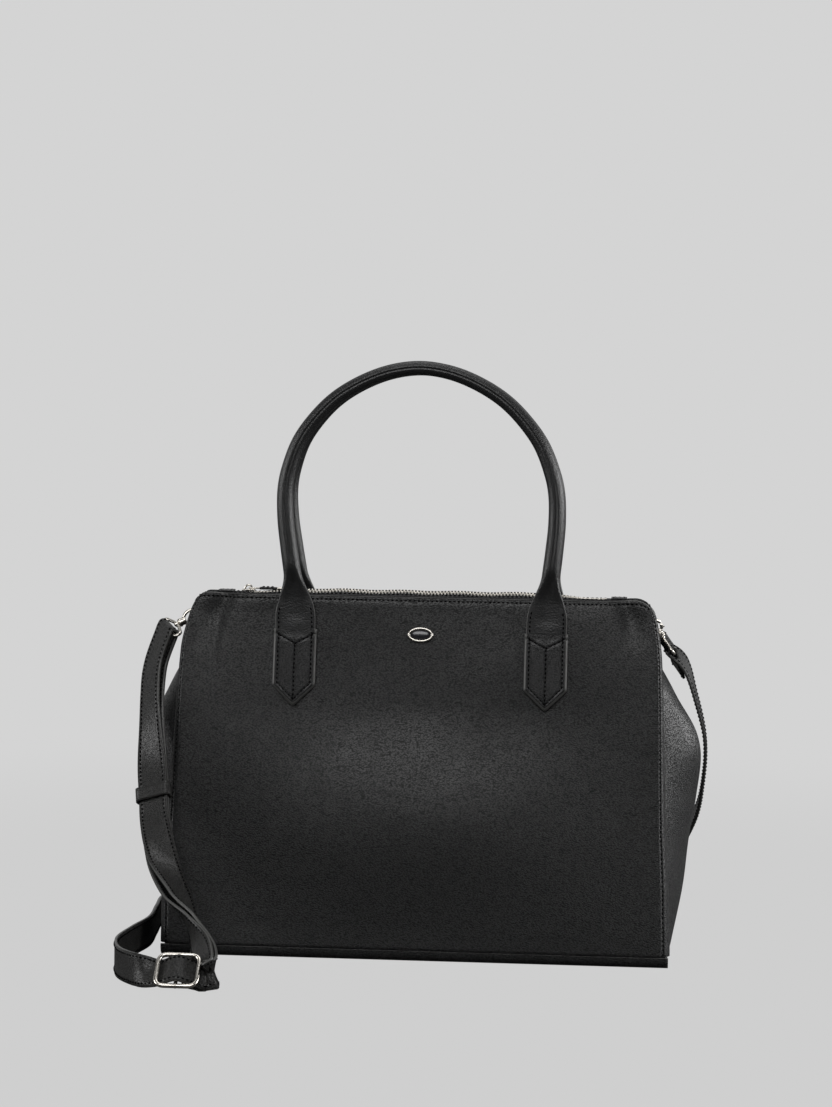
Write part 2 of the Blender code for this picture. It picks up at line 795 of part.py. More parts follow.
for side, label in ((-1, "left"), (1, "right")):
    bar = ring_place(side)
    down = mirrored(ring_direction, side)
    make_chape(side, label, bar)
    make_ring(label, bar, down)
    make_hook(label, bar, down)

# Shoulder strap: one long flat strip. Its places are shares of half the base's width, which passes
# into the eye's own reach with height, of half its depth, and of the eye's height above the strap's
# rest on the floor. Each has the direction that the strip's width takes there.
strap_half = strap_width / 2
strap_rest = strap_half + gap * 2
hang_shares = (
    ((-1.046, -0.19, 0.885), (0.53, -0.8, -0.28)),
    ((-1.053, -0.34, 0.788), (0.6, -0.77, -0.2)),
    ((-1.047, -0.5, 0.680), (0.74, -0.66, -0.12)),
    ((-1.036, -0.67, 0.562), (0.9, -0.4, -0.1)),
    ((-1.021, -0.84, 0.475), (0.9, -0.4, -0.1)),
    ((-1.006, -1.01, 0.389), (0.9, -0.4, -0.1)),
    ((-0.956, -1.34, 0.274), (0.86, -0.25, -0.42)),
    ((-0.875, -1.73, 0.177), (0.72, -0.25, -0.65)),
    ((-0.797, -2.08, 0.106), (0.4, -0.5, -0.77)),
    ((-0.742, -2.38, 0.050), (0.1, -0.62, -0.78)),
    ((-0.698, -2.66, 0.004), (0, -0.3, -0.95)),
)
buckle_share = (-0.822, -2.69)
floor_shares = (
    ((-0.992, -2.56, 0.000), (0, -0.2, -0.98)),
    ((-1.078, -2.22, 0.000), (0, 0, -1)),
    ((-1.116, -1.72, 0.000), (0, 0, -1)),
    ((-1.096, -1.12, 0.000), (0, 0, -1)),
    ((-1.066, -0.55, 0.000), (0, 0, -1)),
    ((-1.080, 0.1, 0.000), (0, 0, -1)),
    ((-1.090, 0.7, 0.000), (0, 0, -1)),
    ((-1.030, 1.15, 0.000), (0, 0, -1)),
    ((-0.870, 1.28, 0.000), (0, 0, -1)),
    ((-0.550, 1.22, 0.000), (0, 0, -1)),
    ((-0.150, 1.16, 0.000), (0, 0, -1)),
    ((0.250, 1.18, 0.000), (0, 0, -1)),
)
rise_shares = (
    ((0.600, 1.25, 0.018), (0, -0.25, -0.95)),
    ((0.851, 1.28, 0.096), (-0.05, -0.5, -0.85)),
    ((1.023, 1.18, 0.224), (-0.05, -0.75, -0.65)),
    ((1.126, 0.93, 0.375), (-0.05, -0.9, -0.42)),
    ((1.158, 0.62, 0.526), (-0.05, -0.95, -0.3)),
    ((1.160, 0.42, 0.671), (0, -0.95, -0.25)),
    ((1.122, 0.31, 0.811), (0, -0.92, -0.35)),
    ((1.073, 0.25, 0.932), (0.02, -0.84, -0.53)),
)
short_direction = Vector((0.42, 0, -0.90))
fold_offset = eye_wire + strap_fold_gap + strap_thickness / 2
pair_offset = strap_thickness / 2 + gap
strap_step = 0.010
fold_steps = 8
spread_shares = (1.0, 0.8, 0.5, 0.15, 0.0, 0.0, 0.0, 0.6, 1.0, 0.6, 0.1, 0.1)
short_end_length = 0.030


def route_place(shares, eye):
    wide = half_base_width + (abs(eye.x) - half_base_width) * shares[2]
    tall = strap_rest + (eye.z - strap_rest) * shares[2]
    return Vector((shares[0] * wide, shares[1] * half_base_depth, tall))


def route_rows(rows, eye):
    """Places and width directions of a table of shares."""
    return [(route_place(row[0], eye), Vector(row[1]).normalized()) for row in rows]


def smooth_route(route):
    """Points close together on a smooth line through a route's own points."""
    knots = list(range(len(route)))
    made = []
    for span in knots[:-1]:
        length = (route[span + 1][0] - route[span][0]).length
        steps = max(2, round(length / strap_step))
        for step in range(steps):
            made.append(route_at(route, knots, span + step / steps))
    made.append(route_at(route, knots, knots[-1]))
    return made


def route_at(route, knots, at):
    place = Vector([smooth_value(knots, [row[0][axis] for row in route], at) for axis in range(3)])
    wide = Vector([smooth_value(knots, [row[1][axis] for row in route], at) for axis in range(3)])
    return place, wide.normalized()


def strip_ring(place, tangent, wide):
    """The strip's section: its width along wide, its thickness square to it."""
    tangent, wide, out = square_frame(tangent, wide)
    half = strap_thickness / 2
    return [place - wide * strap_half - out * half, place + wide * strap_half - out * half,
            place + wide * strap_half + out * half, place - wide * strap_half + out * half]


def strip_rings(points):
    rings = []
    for index, (place, wide) in enumerate(points):
        low, high = points[max(index - 1, 0)][0], points[min(index + 1, len(points) - 1)][0]
        rings.append(strip_ring(place, high - low, wide))
    return rings


def fold_points(centre, wide, start, over):
    """A half turn of the strip round a bar, from the start side, over the top, to the other side."""
    made = []
    for step in range(1, fold_steps):
        turn = math.pi * step / fold_steps
        made.append((centre + (start * math.cos(turn) + over * math.sin(turn)) * fold_offset, wide))
    return made


def double_run(centre, bar, shares):
    """Two runs of the strip to either side of a route that starts at an eye's bar."""
    route = [(centre, bar)] + route_rows(shares, centre)
    runs = ([], [])
    for index, (place, wide) in enumerate(route):
        low, high = route[max(index - 1, 0)][0], route[min(index + 1, len(route) - 1)][0]
        wide, tangent, out = square_frame(wide, high - low)
        offset = pair_offset + (fold_offset - pair_offset) * spread_shares[index]
        for run, side in zip(runs, (1, -1)):
            run.append((place + out * (side * offset), wide))
    return runs


# The buckle: a wire frame with a bar across its middle, leaning back where it rests
buckle_lean = math.radians(50)
behind_frame = -(buckle_wire + gap * 4 + strap_thickness / 2)
behind_pair = behind_frame - pair_offset * 2
over_bar = buckle_bar + gap * 2 + strap_thickness / 2
frame_half_length = buckle_length / 2 - buckle_wire
frame_half_height = buckle_height / 2 - buckle_wire
buckle_up = Vector((0, math.sin(buckle_lean), math.cos(buckle_lean)))
buckle_along = Vector((-1, 0, 0))
buckle_out = Vector((0, -math.cos(buckle_lean), math.sin(buckle_lean)))
buckle_rest = strap_half * buckle_up.z + (strap_thickness - behind_pair) * buckle_out.z
buckle_centre = Vector((buckle_share[0] * half_base_width, buckle_share[1] * half_base_depth, buckle_rest))
corner_round_share = 0.25
corner_steps = 3
quarter = math.pi / 2
frame_outline = []
for corner_x, corner_y, first in ((1, 1, 0), (-1, 1, 1), (-1, -1, 2), (1, -1, 3)):
    corner = frame_half_height * corner_round_share
    for step in range(corner_steps):
        turn = quarter * (first + step / (corner_steps - 1))
        frame_outline.append((corner_x * (frame_half_length - corner) + corner * math.cos(turn),
                              corner_y * (frame_half_height - corner) + corner * math.sin(turn)))
buckle = wire("buckle", [buckle_centre + buckle_along * x + buckle_up * y for x, y in frame_outline],
              buckle_wire, "nickel", cyclic=True)
middle_bar = rod("buckle_middle_bar", buckle_centre - buckle_up * frame_half_height,
                 buckle_centre + buckle_up * frame_half_height, buckle_bar, "nickel", group=cutters)
boolean(buckle, middle_bar, "UNION")


def buckle_place(along, out):
    return (buckle_centre + buckle_along * along + buckle_out * out, -buckle_up)


left_eye, left_bar = eye_bars["left"]
right_eye, right_bar = eye_bars["right"]
near_run, far_run = double_run(left_eye, left_bar, hang_shares)
near_run.append(buckle_place(-frame_half_length, behind_pair))
near_run.append(buckle_place(-frame_half_length / 4, -over_bar - gap))
far_run.append(buckle_place(-frame_half_length, behind_frame))
far_run.append(buckle_place(0, over_bar))
far_run.append(buckle_place(frame_half_length, behind_frame))

over_left = square_frame(left_bar, left_eye - route_place(hang_shares[0][0], left_eye))[1]
start_left = (near_run[0][0] - left_eye).normalized()
rise_run = route_rows(floor_shares, left_eye) + route_rows(rise_shares, right_eye)
right_bar, over_right, out_right = square_frame(right_bar, right_eye - rise_run[-1][0])
short_centre = right_eye - out_right * fold_offset
short_down = square_frame(right_bar, short_direction)[1]
short_run = [(short_centre, right_bar), (short_centre + short_down * short_end_length, right_bar)]

strap_points = smooth_route(list(reversed(near_run)))
strap_points += fold_points(left_eye, left_bar, start_left, over_left)
strap_points += smooth_route(far_run + rise_run + [(right_eye + out_right * fold_offset, right_bar)])
strap_points += fold_points(right_eye, right_bar, out_right, over_right)
strap_points += smooth_route(short_run)
loft("shoulder_strap", strip_rings(strap_points), "strap_leather")

# The keeper slides on both runs of the strap; the buckle holds its sewn end
before_keeper, keeper_place, after_keeper = [route_place(row[0], left_eye) for row in hang_shares[3:6]]
keeper_wide = Vector(hang_shares[4][1])
keeper_along = after_keeper - before_keeper
keeper_axis, keeper_wide, keeper_out = square_frame(keeper_along, keeper_wide)
hole_half = (strap_half + keeper_clearance, pair_offset + strap_thickness / 2 + keeper_clearance)
wall_half = (hole_half[0] + keeper_thickness, hole_half[1] + keeper_thickness)
keeper_turn = Matrix((keeper_wide, keeper_out, keeper_axis)).transposed().to_4x4()
keeper_frame = Matrix.Translation(keeper_place) @ keeper_turn


def keeper_part(name, half, length, group):
    bm = bmesh.new()
    bmesh.ops.create_cube(bm, size=2)
    bmesh.ops.scale(bm, vec=(half[0], half[1], length / 2), verts=bm.verts)
    bmesh.ops.transform(bm, matrix=keeper_frame, verts=bm.verts)
    return mesh_object(name, bm, "strap_leather", smooth=False, group=group)


keeper = keeper_part("keeper", wall_half, keeper_length, model)
boolean(keeper, keeper_part("keeper_hole", hole_half, keeper_length * 2, cutters), "DIFFERENCE")


def set_origin(name, place):
    """Put an object's origin at a point of its joint's axis, its shape staying where it is."""
    made = bpy.data.objects[name]
    made.data.transform(Matrix.Translation(-place))
    made.location = place


# Origins of the moving pieces, on their axes
set_origin("front_handle", crease)
set_origin("back_handle", back(crease))
set_origin("zip_slider", Vector((post_place, 0, chain_height)))
pull_axis = Vector((link_start + pull_link_bar / 2, 0, pull_middle))
for name in ("pull_link", "pull_tag", "pull_tip"):
    set_origin(name, pull_axis)
for side, label in ((-1, "left"), (1, "right")):
    set_origin(f"{label}_ring", ring_place(side))
    set_origin(f"{label}_hook", hook_axes[label][0])
    set_origin(f"{label}_gate", hook_axes[label][2])
set_origin("keeper", keeper_place)
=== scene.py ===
import json
import math
from bisect import bisect

import bmesh
import bpy
from bpy.props import FloatProperty, FloatVectorProperty, IntProperty, PointerProperty
from mathutils import Matrix, Vector, noise


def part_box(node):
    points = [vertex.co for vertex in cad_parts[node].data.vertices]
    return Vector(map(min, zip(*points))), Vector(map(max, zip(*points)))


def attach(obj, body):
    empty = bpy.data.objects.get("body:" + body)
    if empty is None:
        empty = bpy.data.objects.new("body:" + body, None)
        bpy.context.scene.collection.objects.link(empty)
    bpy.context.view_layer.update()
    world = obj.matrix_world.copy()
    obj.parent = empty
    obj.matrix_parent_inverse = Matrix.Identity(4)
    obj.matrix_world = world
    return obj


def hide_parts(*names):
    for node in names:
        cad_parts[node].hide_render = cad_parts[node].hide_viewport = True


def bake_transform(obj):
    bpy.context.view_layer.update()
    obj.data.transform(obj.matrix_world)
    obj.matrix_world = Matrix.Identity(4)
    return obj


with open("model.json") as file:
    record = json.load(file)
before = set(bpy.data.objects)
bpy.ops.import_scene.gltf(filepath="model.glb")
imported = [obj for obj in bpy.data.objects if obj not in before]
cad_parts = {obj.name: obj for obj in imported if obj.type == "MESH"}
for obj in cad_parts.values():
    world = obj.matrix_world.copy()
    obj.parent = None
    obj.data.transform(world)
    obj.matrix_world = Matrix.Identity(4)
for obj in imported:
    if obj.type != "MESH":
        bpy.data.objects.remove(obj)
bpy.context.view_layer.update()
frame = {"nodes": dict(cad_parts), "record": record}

# The body and the material slot of every node of the frame
BODIES = {node: body for body, nodes in frame["record"]["behaviour"]["bodies"].items() for node in nodes}
SLOTS = {row["node"]: row["material_slot"] for row in frame["record"]["subparts"]}

bl_info = {
    "name": "Shopper Bag",
    "version": (1, 0, 0),
    "blender": (4, 5, 0),
    "location": "3D View > Sidebar > Shopper Bag",
    "description": "Dresses a zipped faux-leather shopper bag around its fixed frame",
    "category": "Object",
}


# What a user may change

def length(name, text, default):
    return FloatProperty(name=name, description=text, default=default, unit="LENGTH")


def colour(name, text, default):
    return FloatVectorProperty(name=name, description=text, default=default, subtype="COLOR")


class BagSizes(bpy.types.PropertyGroup):
    """Sizes of the sewn pieces."""
    body_height: length("Body height", "Height of the sewn body at its top edge", 0.256)
    base_width: length("Base width", "Width across the side seams at the base", 0.360)
    base_depth: length("Base depth", "Depth of the base from front to back", 0.140)
    top_depth: length("Top depth", "Depth of the pinched top", 0.030)
    gusset_reach: length("Gusset reach", "How far a side bulges past its seams", 0.030)
    leather: length("Leather", "Thickness of a panel", 0.0022)
    seam_dent: length("Seam dent", "How deep a row of stitches pulls the leather in", 0.0008)
    slump: length("Slump", "How far the soft panels wander from their true form", 0.0011)
    stitch_pitch: length("Stitch pitch", "Distance from stitch to stitch", 0.0032)
    stitch_length: length("Stitch length", "Thread seen between two holes", 0.0022)
    thread: length("Thread", "Thickness of the thread", 0.0013)
    strap_width: length("Strap width", "Width of the shoulder strap", 0.022)
    strap_thickness: length("Strap thickness", "Thickness of the shoulder strap", 0.0020)
    zip_pitch: length("Zip pitch", "Distance from tooth to tooth in one row", 0.0024)
    zip_wave: length("Zip wave", "How far the closed zip snakes up and down", 0.0011)
    wire_sides: IntProperty(name="Wire sides", description="Facets round a bent wire", default=16, min=6)


class BagColours(bpy.types.PropertyGroup):
    """Colours of the finishes, and how fine their patterns are."""
    leather: colour("Leather", "Colour of the pebbled panels", (0.0078, 0.0081, 0.0083))
    handle: colour("Handle leather", "Colour of the handles and tabs", (0.0075, 0.0076, 0.0080))
    strap: colour("Strap leather", "Colour of the shoulder strap", (0.0100, 0.0098, 0.0092))
    # The edge paint is light enough to stand for the rim highlight along rounded borders as well: part edge paint,
    # part painted highlight
    edge: colour("Edge paint", "Colour of the painted edges", (0.045, 0.045, 0.043))
    thread: colour("Thread", "Colour of the sewing thread", (0.0010, 0.0010, 0.0011))
    cloth: colour("Lining cloth", "Colour of the lining and the zip's tape", (0.0120, 0.0120, 0.0130))
    nickel: colour("Nickel", "Colour of the polished fittings", (0.66, 0.63, 0.58))
    enamel: colour("Enamel", "Colour of the stud's plain face", (0.010, 0.010, 0.012))
    floor: colour("Floor", "Colour of the pale floor and backdrop", (0.658, 0.658, 0.658))
    pebble: length("Pebble", "Width of one pebble of the grain", 0.0011)
    weave: length("Weave", "Width of one yarn of the cloth", 0.0006)


def sizes():
    return bpy.context.scene.bag_sizes


def colours():
    return bpy.context.scene.bag_colours


def shade(tone, share):
    """A colour made darker or lighter."""
    return tuple(channel * share for channel in tone)


# Shader sums

class Reading:
    """A socket of a finish, on which sums are written as plain expressions."""

    def __init__(self, finish, socket):
        self.finish, self.socket = finish, socket

    def sum(self, operation, *values):
        return self.finish.node("ShaderNodeMath", {"operation": operation}, *values)

    def __add__(self, other):
        return self.sum("ADD", self, other)

    def __radd__(self, other):
        return self.sum("ADD", other, self)

    def __sub__(self, other):
        return self.sum("SUBTRACT", self, other)

    def __rsub__(self, other):
        return self.sum("SUBTRACT", other, self)

    def __mul__(self, other):
        return self.sum("MULTIPLY", self, other)

    def sine(self):
        return self.sum("SINE", self)

    def steep(self, low, high):
        """0 below low, 1 above high, smooth between."""
        return self.finish.node("ShaderNodeMapRange", {"interpolation_type": "SMOOTHSTEP", "clamp": True},
                                self, low, high)


class Finish:
    """A material or a world whose nodes are added by one method."""

    def __init__(self, name, kind="materials", shader="Principled BSDF"):
        self.material = getattr(bpy.data, kind).new(name)
        self.material.use_nodes = True
        self.tree = self.material.node_tree
        self.shader = self.tree.nodes[shader]

    def node(self, kind, settings, *values, output=0, **named):
        made = self.tree.nodes.new(kind)
        for key, value in settings.items():
            setattr(made, key, value)
        for place, value in [*enumerate(values), *named.items()]:
            self.feed(value, made.inputs[place])
        return Reading(self, made.outputs[output])

    def feed(self, value, socket):
        if isinstance(value, Reading):
            self.tree.links.new(value.socket, socket)
        elif isinstance(value, (tuple, list, Vector)) and socket.type == "RGBA":
            socket.default_value = (*value[:3], 1)
        else:
            socket.default_value = value

    def place(self, scale=(1, 1, 1)):
        """Object coordinates, stretched by a scale."""
        coordinates = self.node("ShaderNodeTexCoord", {}, output=3)
        return self.node("ShaderNodeMapping", {}, coordinates, Scale=scale)

    def noise(self, place, scale, detail=2, roughness=0.5, distortion=0):
        return self.node("ShaderNodeTexNoise", {}, Vector=place, Scale=scale, Detail=detail,
                         Roughness=roughness, Distortion=distortion)

    def cells(self, place, scale, feature, **named):
        return self.node("ShaderNodeTexVoronoi", {"feature": feature}, Vector=place, Scale=scale, **named)

    def mix(self, factor, low, high):
        """A colour between two colours."""
        made = self.tree.nodes.new("ShaderNodeMix")
        made.data_type = "RGBA"
        for value, socket in ((factor, made.inputs[0]), (low, made.inputs[6]), (high, made.inputs[7])):
            self.feed(value, socket)
        return Reading(self, made.outputs[2])

    def moved(self, place, by, strength):
        """A place pushed about by a pattern, so that cells lose their straight sides."""
        push = self.node("ShaderNodeVectorMath", {"operation": "SCALE"}, by, Scale=strength)
        return self.node("ShaderNodeVectorMath", {"operation": "ADD"}, place, push)

    def surface(self, bump=None, height=0.0002, strength=1.0, **sockets):
        for name, value in sockets.items():
            self.feed(value, self.shader.inputs[name.replace("_", " ")])
        if bump is not None:
            normal = self.node("ShaderNodeBump", {}, Strength=strength, Distance=height, Height=bump)
            self.feed(normal, self.shader.inputs["Normal"])
        return self.material


# Finishes

def pebbled_leather(name, colour, pebble, coarse=1.0, gloss=0.0):
    """Faux leather: glossy domed pebbles with dull furrows between them, in soft patches."""
    finish = Finish(name)
    place = finish.place((0.8, 0.8, 1.35))
    drift = finish.node("ShaderNodeTexNoise", {}, Vector=place, Scale=0.5 / pebble, Detail=1, output=1)
    bent = finish.moved(place, drift, pebble * 1.1)
    pebbles = finish.cells(bent, 1 / pebble, "SMOOTH_F1", Smoothness=0.2)
    furrow = finish.cells(bent, 1 / pebble, "DISTANCE_TO_EDGE")
    patch = finish.noise(finish.place(), 0.10 / pebble, detail=3, roughness=0.6)
    fold = finish.noise(finish.place((1, 1, 2.4)), 0.5 / pebble, detail=2, roughness=0.5)
    valley = 1 - furrow.steep(0.0, 0.16)
    dome = 1 - pebbles * pebbles * 1.8
    relief = (dome - valley * 0.25) * (0.45 + patch * 1.1) * coarse + fold * 0.35
    # The colour is painted lighter on the pebble tops and darker in the furrows: a painted highlight and painted shade
    # of the grain, varied in soft patches
    tone = finish.mix((dome * (0.4 + patch * 1.1)).steep(-0.2, 1.3), shade(colour, 0.40), shade(colour, 1.5))
    shine = 0.10 + (dome * (0.30 + patch * 0.7 + fold * 0.6)).steep(0.1, 1.15) * 0.59
    finish.surface(Specular_IOR_Level=0.26, Coat_Roughness=0.32 - gloss, Coat_IOR=1.5, Coat_Weight=shine)
    return finish.surface(bump=relief, height=0.00045, strength=0.9, Base_Color=tone,
                          Roughness=0.38 - gloss + valley * 0.2 + patch * 0.10)


def wrinkled_leather(name, colour):
    """The thinner leather round a handle: fine creases across it and a slight polish."""
    finish = Finish(name)
    runs = finish.node("ShaderNodeUVMap", {"uv_map": "UVMap"})
    around = finish.node("ShaderNodeMapping", {}, runs, Scale=(30, 460, 1))
    crease = finish.noise(around, 1, detail=3, roughness=0.55, distortion=1.2)
    place = finish.place()
    pebbles = finish.cells(place, 850, "SMOOTH_F1", Smoothness=0.4)
    patch = finish.noise(place, 70, detail=2)
    relief = crease * 0.6 + (1 - pebbles) * 0.9 * (0.4 + patch)
    # The colour is painted darker in the creases' hollows and lighter on their ridges: painted shade and painted
    # highlight of the creases
    tone = finish.mix(crease.steep(0.35, 0.7), shade(colour, 0.7), shade(colour, 1.35))
    roughness = 0.30 + patch * 0.12 + crease * 0.06
    return finish.surface(bump=relief, height=0.00028, strength=0.8, Base_Color=tone, Roughness=roughness,
                          Specular_IOR_Level=0.5)


def highlighted_edge_paint(name, colour):
    """Edge paint, light enough to carry a painted rim highlight along rounded borders: smooth, a little uneven."""
    finish = Finish(name)
    patch = finish.noise(finish.place(), 420, detail=2)
    tone = finish.mix(patch, shade(colour, 0.7), shade(colour, 1.3))
    return finish.surface(bump=patch, height=0.0001, strength=0.4, Base_Color=tone,
                          Roughness=0.34 + patch * 0.15)


def woven_cloth(name, colour, yarn):
    """A plain weave: yarns over and under in both directions."""
    finish = Finish(name)
    place = finish.place((math.pi / yarn, math.pi / yarn, math.pi / yarn))
    parts = finish.tree.nodes.new("ShaderNodeSeparateXYZ")
    finish.feed(place, parts.inputs[0])
    x, y, z = (Reading(finish, output) for output in parts.outputs)
    over = x.sine() * (y + z).sine()
    fuzz = finish.noise(finish.place(), 0.8 / yarn, detail=3)
    height = over * 0.5 + fuzz * 0.5
    tone = finish.mix(over.steep(-0.6, 0.8), shade(colour, 0.6), shade(colour, 1.6))
    return finish.surface(bump=height, height=yarn / 2, strength=0.6, Base_Color=tone,
                          Roughness=0.82 + fuzz * 0.12)


def twisted_thread(name, colour):
    """Sewing thread: fine slanted twists."""
    finish = Finish(name)
    place = finish.place((1, 1, 1.6))
    twist = finish.node("ShaderNodeTexWave", {"bands_direction": "DIAGONAL"}, place, Scale=1500, Distortion=2)
    tone = finish.mix(twist, shade(colour, 0.7), shade(colour, 1.7))
    return finish.surface(bump=twist, height=0.0001, strength=0.5, Base_Color=tone,
                          Roughness=0.72 + twist * 0.2, Specular_IOR_Level=0.06)


def polished_nickel(name, colour, rough=0.16, brushed=False, metal=1.0):
    """Plated metal with faint polishing marks and a slightly cloudy gloss."""
    finish = Finish(name)
    marks = finish.noise(finish.place((900, 900, 2400) if brushed else (300, 300, 300)), 1, detail=3)
    cloud = finish.noise(finish.place(), 160, detail=2)
    tone = finish.mix(cloud, shade(colour, 0.88), colour)
    return finish.surface(bump=marks, height=0.00002, strength=0.3, Base_Color=tone, Metallic=metal,
                          Roughness=rough + cloud * 0.12 + marks * 0.06)


def glossy_enamel(name, colour):
    """The stud's smooth dark face."""
    finish = Finish(name)
    ripple = finish.noise(finish.place(), 260, detail=2)
    return finish.surface(bump=ripple, height=0.00006, strength=0.25,
                          Base_Color=finish.mix(ripple, colour, shade(colour, 1.6)),
                          Roughness=0.18 + ripple * 0.1, Coat_Weight=0.4)


def pressed_board(name):
    """Grey board with fibres along its length."""
    finish = Finish(name)
    fibre = finish.noise(finish.place((300, 900, 300)), 1, detail=4)
    return finish.surface(bump=fibre, height=0.0001, strength=0.5,
                          Base_Color=finish.mix(fibre, (0.22, 0.19, 0.15), (0.36, 0.32, 0.26)),
                          Roughness=0.85 + fibre * 0.1)


def pale_floor(name, colour):
    """A floor that the camera sees as even light, and that shades the object only a little."""
    finish = Finish(name)
    seen = finish.node("ShaderNodeLightPath", {}, output=0)
    place = finish.node("ShaderNodeTexCoord", {}, output=3)
    away = finish.node("ShaderNodeVectorMath", {"operation": "LENGTH"}, place, output=1).steep(0.5, 1.3)
    glow = finish.node("ShaderNodeEmission", {}, colour, 1.0)
    plain = finish.node("ShaderNodeBsdfDiffuse", {}, shade(colour, 0.12))
    mixed = finish.node("ShaderNodeMixShader", {}, seen * (0.94 + away * 0.06), plain, glow)
    finish.feed(mixed, finish.tree.nodes["Material Output"].inputs["Surface"])
    return finish.material


FINISHES = {}


def finish_for(name):
    """The material of a finish, made when first asked for."""
    if name in FINISHES:
        return FINISHES[name]
    own = colours()
    leather, handle, strap = tuple(own.leather), tuple(own.handle), tuple(own.strap)
    makers = {
        "panel": lambda: pebbled_leather("pebbled_panel_leather", leather, own.pebble),
        # The gussets' leather is the panels' leather painted 1.12 times lighter: a lit copy of the same leather,
        # standing for the stronger light on the sides
        "gusset": lambda: pebbled_leather("pebbled_gusset_leather", shade(leather, 1.12), own.pebble, coarse=0.8),
        "tab": lambda: pebbled_leather("tab_leather", handle, own.pebble * 0.85, coarse=0.8, gloss=0.05),
        "handle": lambda: wrinkled_leather("wrinkled_handle_leather", handle),
        "strap": lambda: pebbled_leather("strap_leather", strap, own.pebble * 0.8, coarse=0.45, gloss=0.02),
        "edge": lambda: highlighted_edge_paint("edge_paint_and_rim_highlight", tuple(own.edge)),
        "cloth": lambda: woven_cloth("woven_lining", tuple(own.cloth), own.weave),
        "tape": lambda: woven_cloth("woven_zip_tape", tuple(own.cloth), own.weave * 0.8),
        "thread": lambda: twisted_thread("sewing_thread", tuple(own.thread)),
        "nickel": lambda: polished_nickel("polished_nickel", tuple(own.nickel)),
        # The teeth are the nickel made lighter and partly diffuse: nickel's own colour with a painted reflection of
        # the front lamps, which their flat fronts would miss
        "teeth": lambda: polished_nickel("nickel_teeth", shade(own.nickel, 1.25), rough=0.38, brushed=True,
                                         metal=0.55),
        "enamel": lambda: glossy_enamel("dark_enamel", tuple(own.enamel)),
        "board": lambda: pressed_board("grey_board"),
        "floor": lambda: pale_floor("pale_floor", tuple(own.floor)),
    }
    FINISHES[name] = makers[name]()
    return FINISHES[name]


# Shape of the body, as the frame has it: heights, half widths and gusset reaches as shares
BODY_SHARES = (
    (0.00, 1.000, 0.03), (0.05, 1.000, 0.16), (0.18, 0.985, 0.48), (0.33, 0.970, 0.72),
    (0.45, 0.962, 0.90), (0.59, 0.955, 1.00), (0.73, 0.948, 0.56), (0.84, 0.940, 0.10),
    (0.90, 0.932, -0.14), (0.95, 0.922, -0.36), (1.00, 0.900, -0.44),
)
BODY_KNOTS = [row[0] for row in BODY_SHARES]
FLAT_SHARE = 0.8
BASE_ROUND, TOP_ROUND = 0.010, 0.004
BAND_HEIGHT = 0.008
GUSSET_LEATHER = 0.0014
SEAM_GAP = 0.0006
CORNER_LEFT, CORNER_RIGHT = 0.0065, 0.011
# Where the rows of stitches run, as shares of a panel, and how wide the dents along them are
SEAM_TURN, TOP_ROW, SEAM_DENT, TOP_DENT = 0.872, 0.010, 0.012, 0.004
# How far the soft seams stand out past the frame's plain loft: at the base, half way up and at the top
SPARE_LEFT, SPARE_RIGHT, CREST_SPARE = (0.0, 0.0052, 0.0012), (0.0025, 0.0045, 0.0030), 0.0025
# How far a panel's belly stands out, and the share of its height where that ends
BELLY, BELLY_END = 0.008, 0.70
# Dips beside the top corners, where the folded gussets pull: depth, distance from the seam and width
CORNER_PINCH, LEFT_PINCH = (0.0022, 0.019, 0.008), (0.0010, 0.024, 0.005)
# How deep the top edge hangs between the handles, and how far out that is whole and gone
TOP_DIP, DIP_WHOLE, DIP_GONE = 0.0008, 0.135, 0.155
# How far a gusset stops below the panels, and how much of that its corners make up
GUSSET_TOP, GUSSET_CORNER = 0.006, 0.003
# Each soft sheet has its own unevenness
SEEDS = {"front": 1.7, "back": 6.3, "left": 3.1, "right": 8.9, "facing": 4.4}


def span_at(knots, at):
    """Which span of rising knots holds a value, and how far along that span it lies."""
    span = min(max(bisect(knots, at) - 1, 0), len(knots) - 2)
    return span, (at - knots[span]) / (knots[span + 1] - knots[span])


def smooth_value(knots, values, at):
    """A smooth curve through values at rising knots."""
    span, t = span_at(knots, at)
    width = knots[span + 1] - knots[span]
    before, after = max(span - 1, 0), min(span + 2, len(knots) - 1)
    start, end = values[span], values[span + 1]
    start_slope = (end - values[before]) / (knots[span + 1] - knots[before])
    end_slope = (values[after] - start) / (knots[after] - knots[span])
    return ((2 * t ** 3 - 3 * t ** 2 + 1) * start + (t ** 3 - 2 * t ** 2 + t) * width * start_slope
            + (3 * t ** 2 - 2 * t ** 3) * end + (t ** 3 - t ** 2) * width * end_slope)


def ease(low, high, at):
    """A smooth step from 0 at low to 1 at high."""
    t = min(max((at - low) / (high - low), 0), 1)
    return t * t * (3 - 2 * t)


def bell(at, middle, width):
    """1 at the middle, falling away to 0 on both sides."""
    return math.exp(-((at - middle) / width) ** 2)


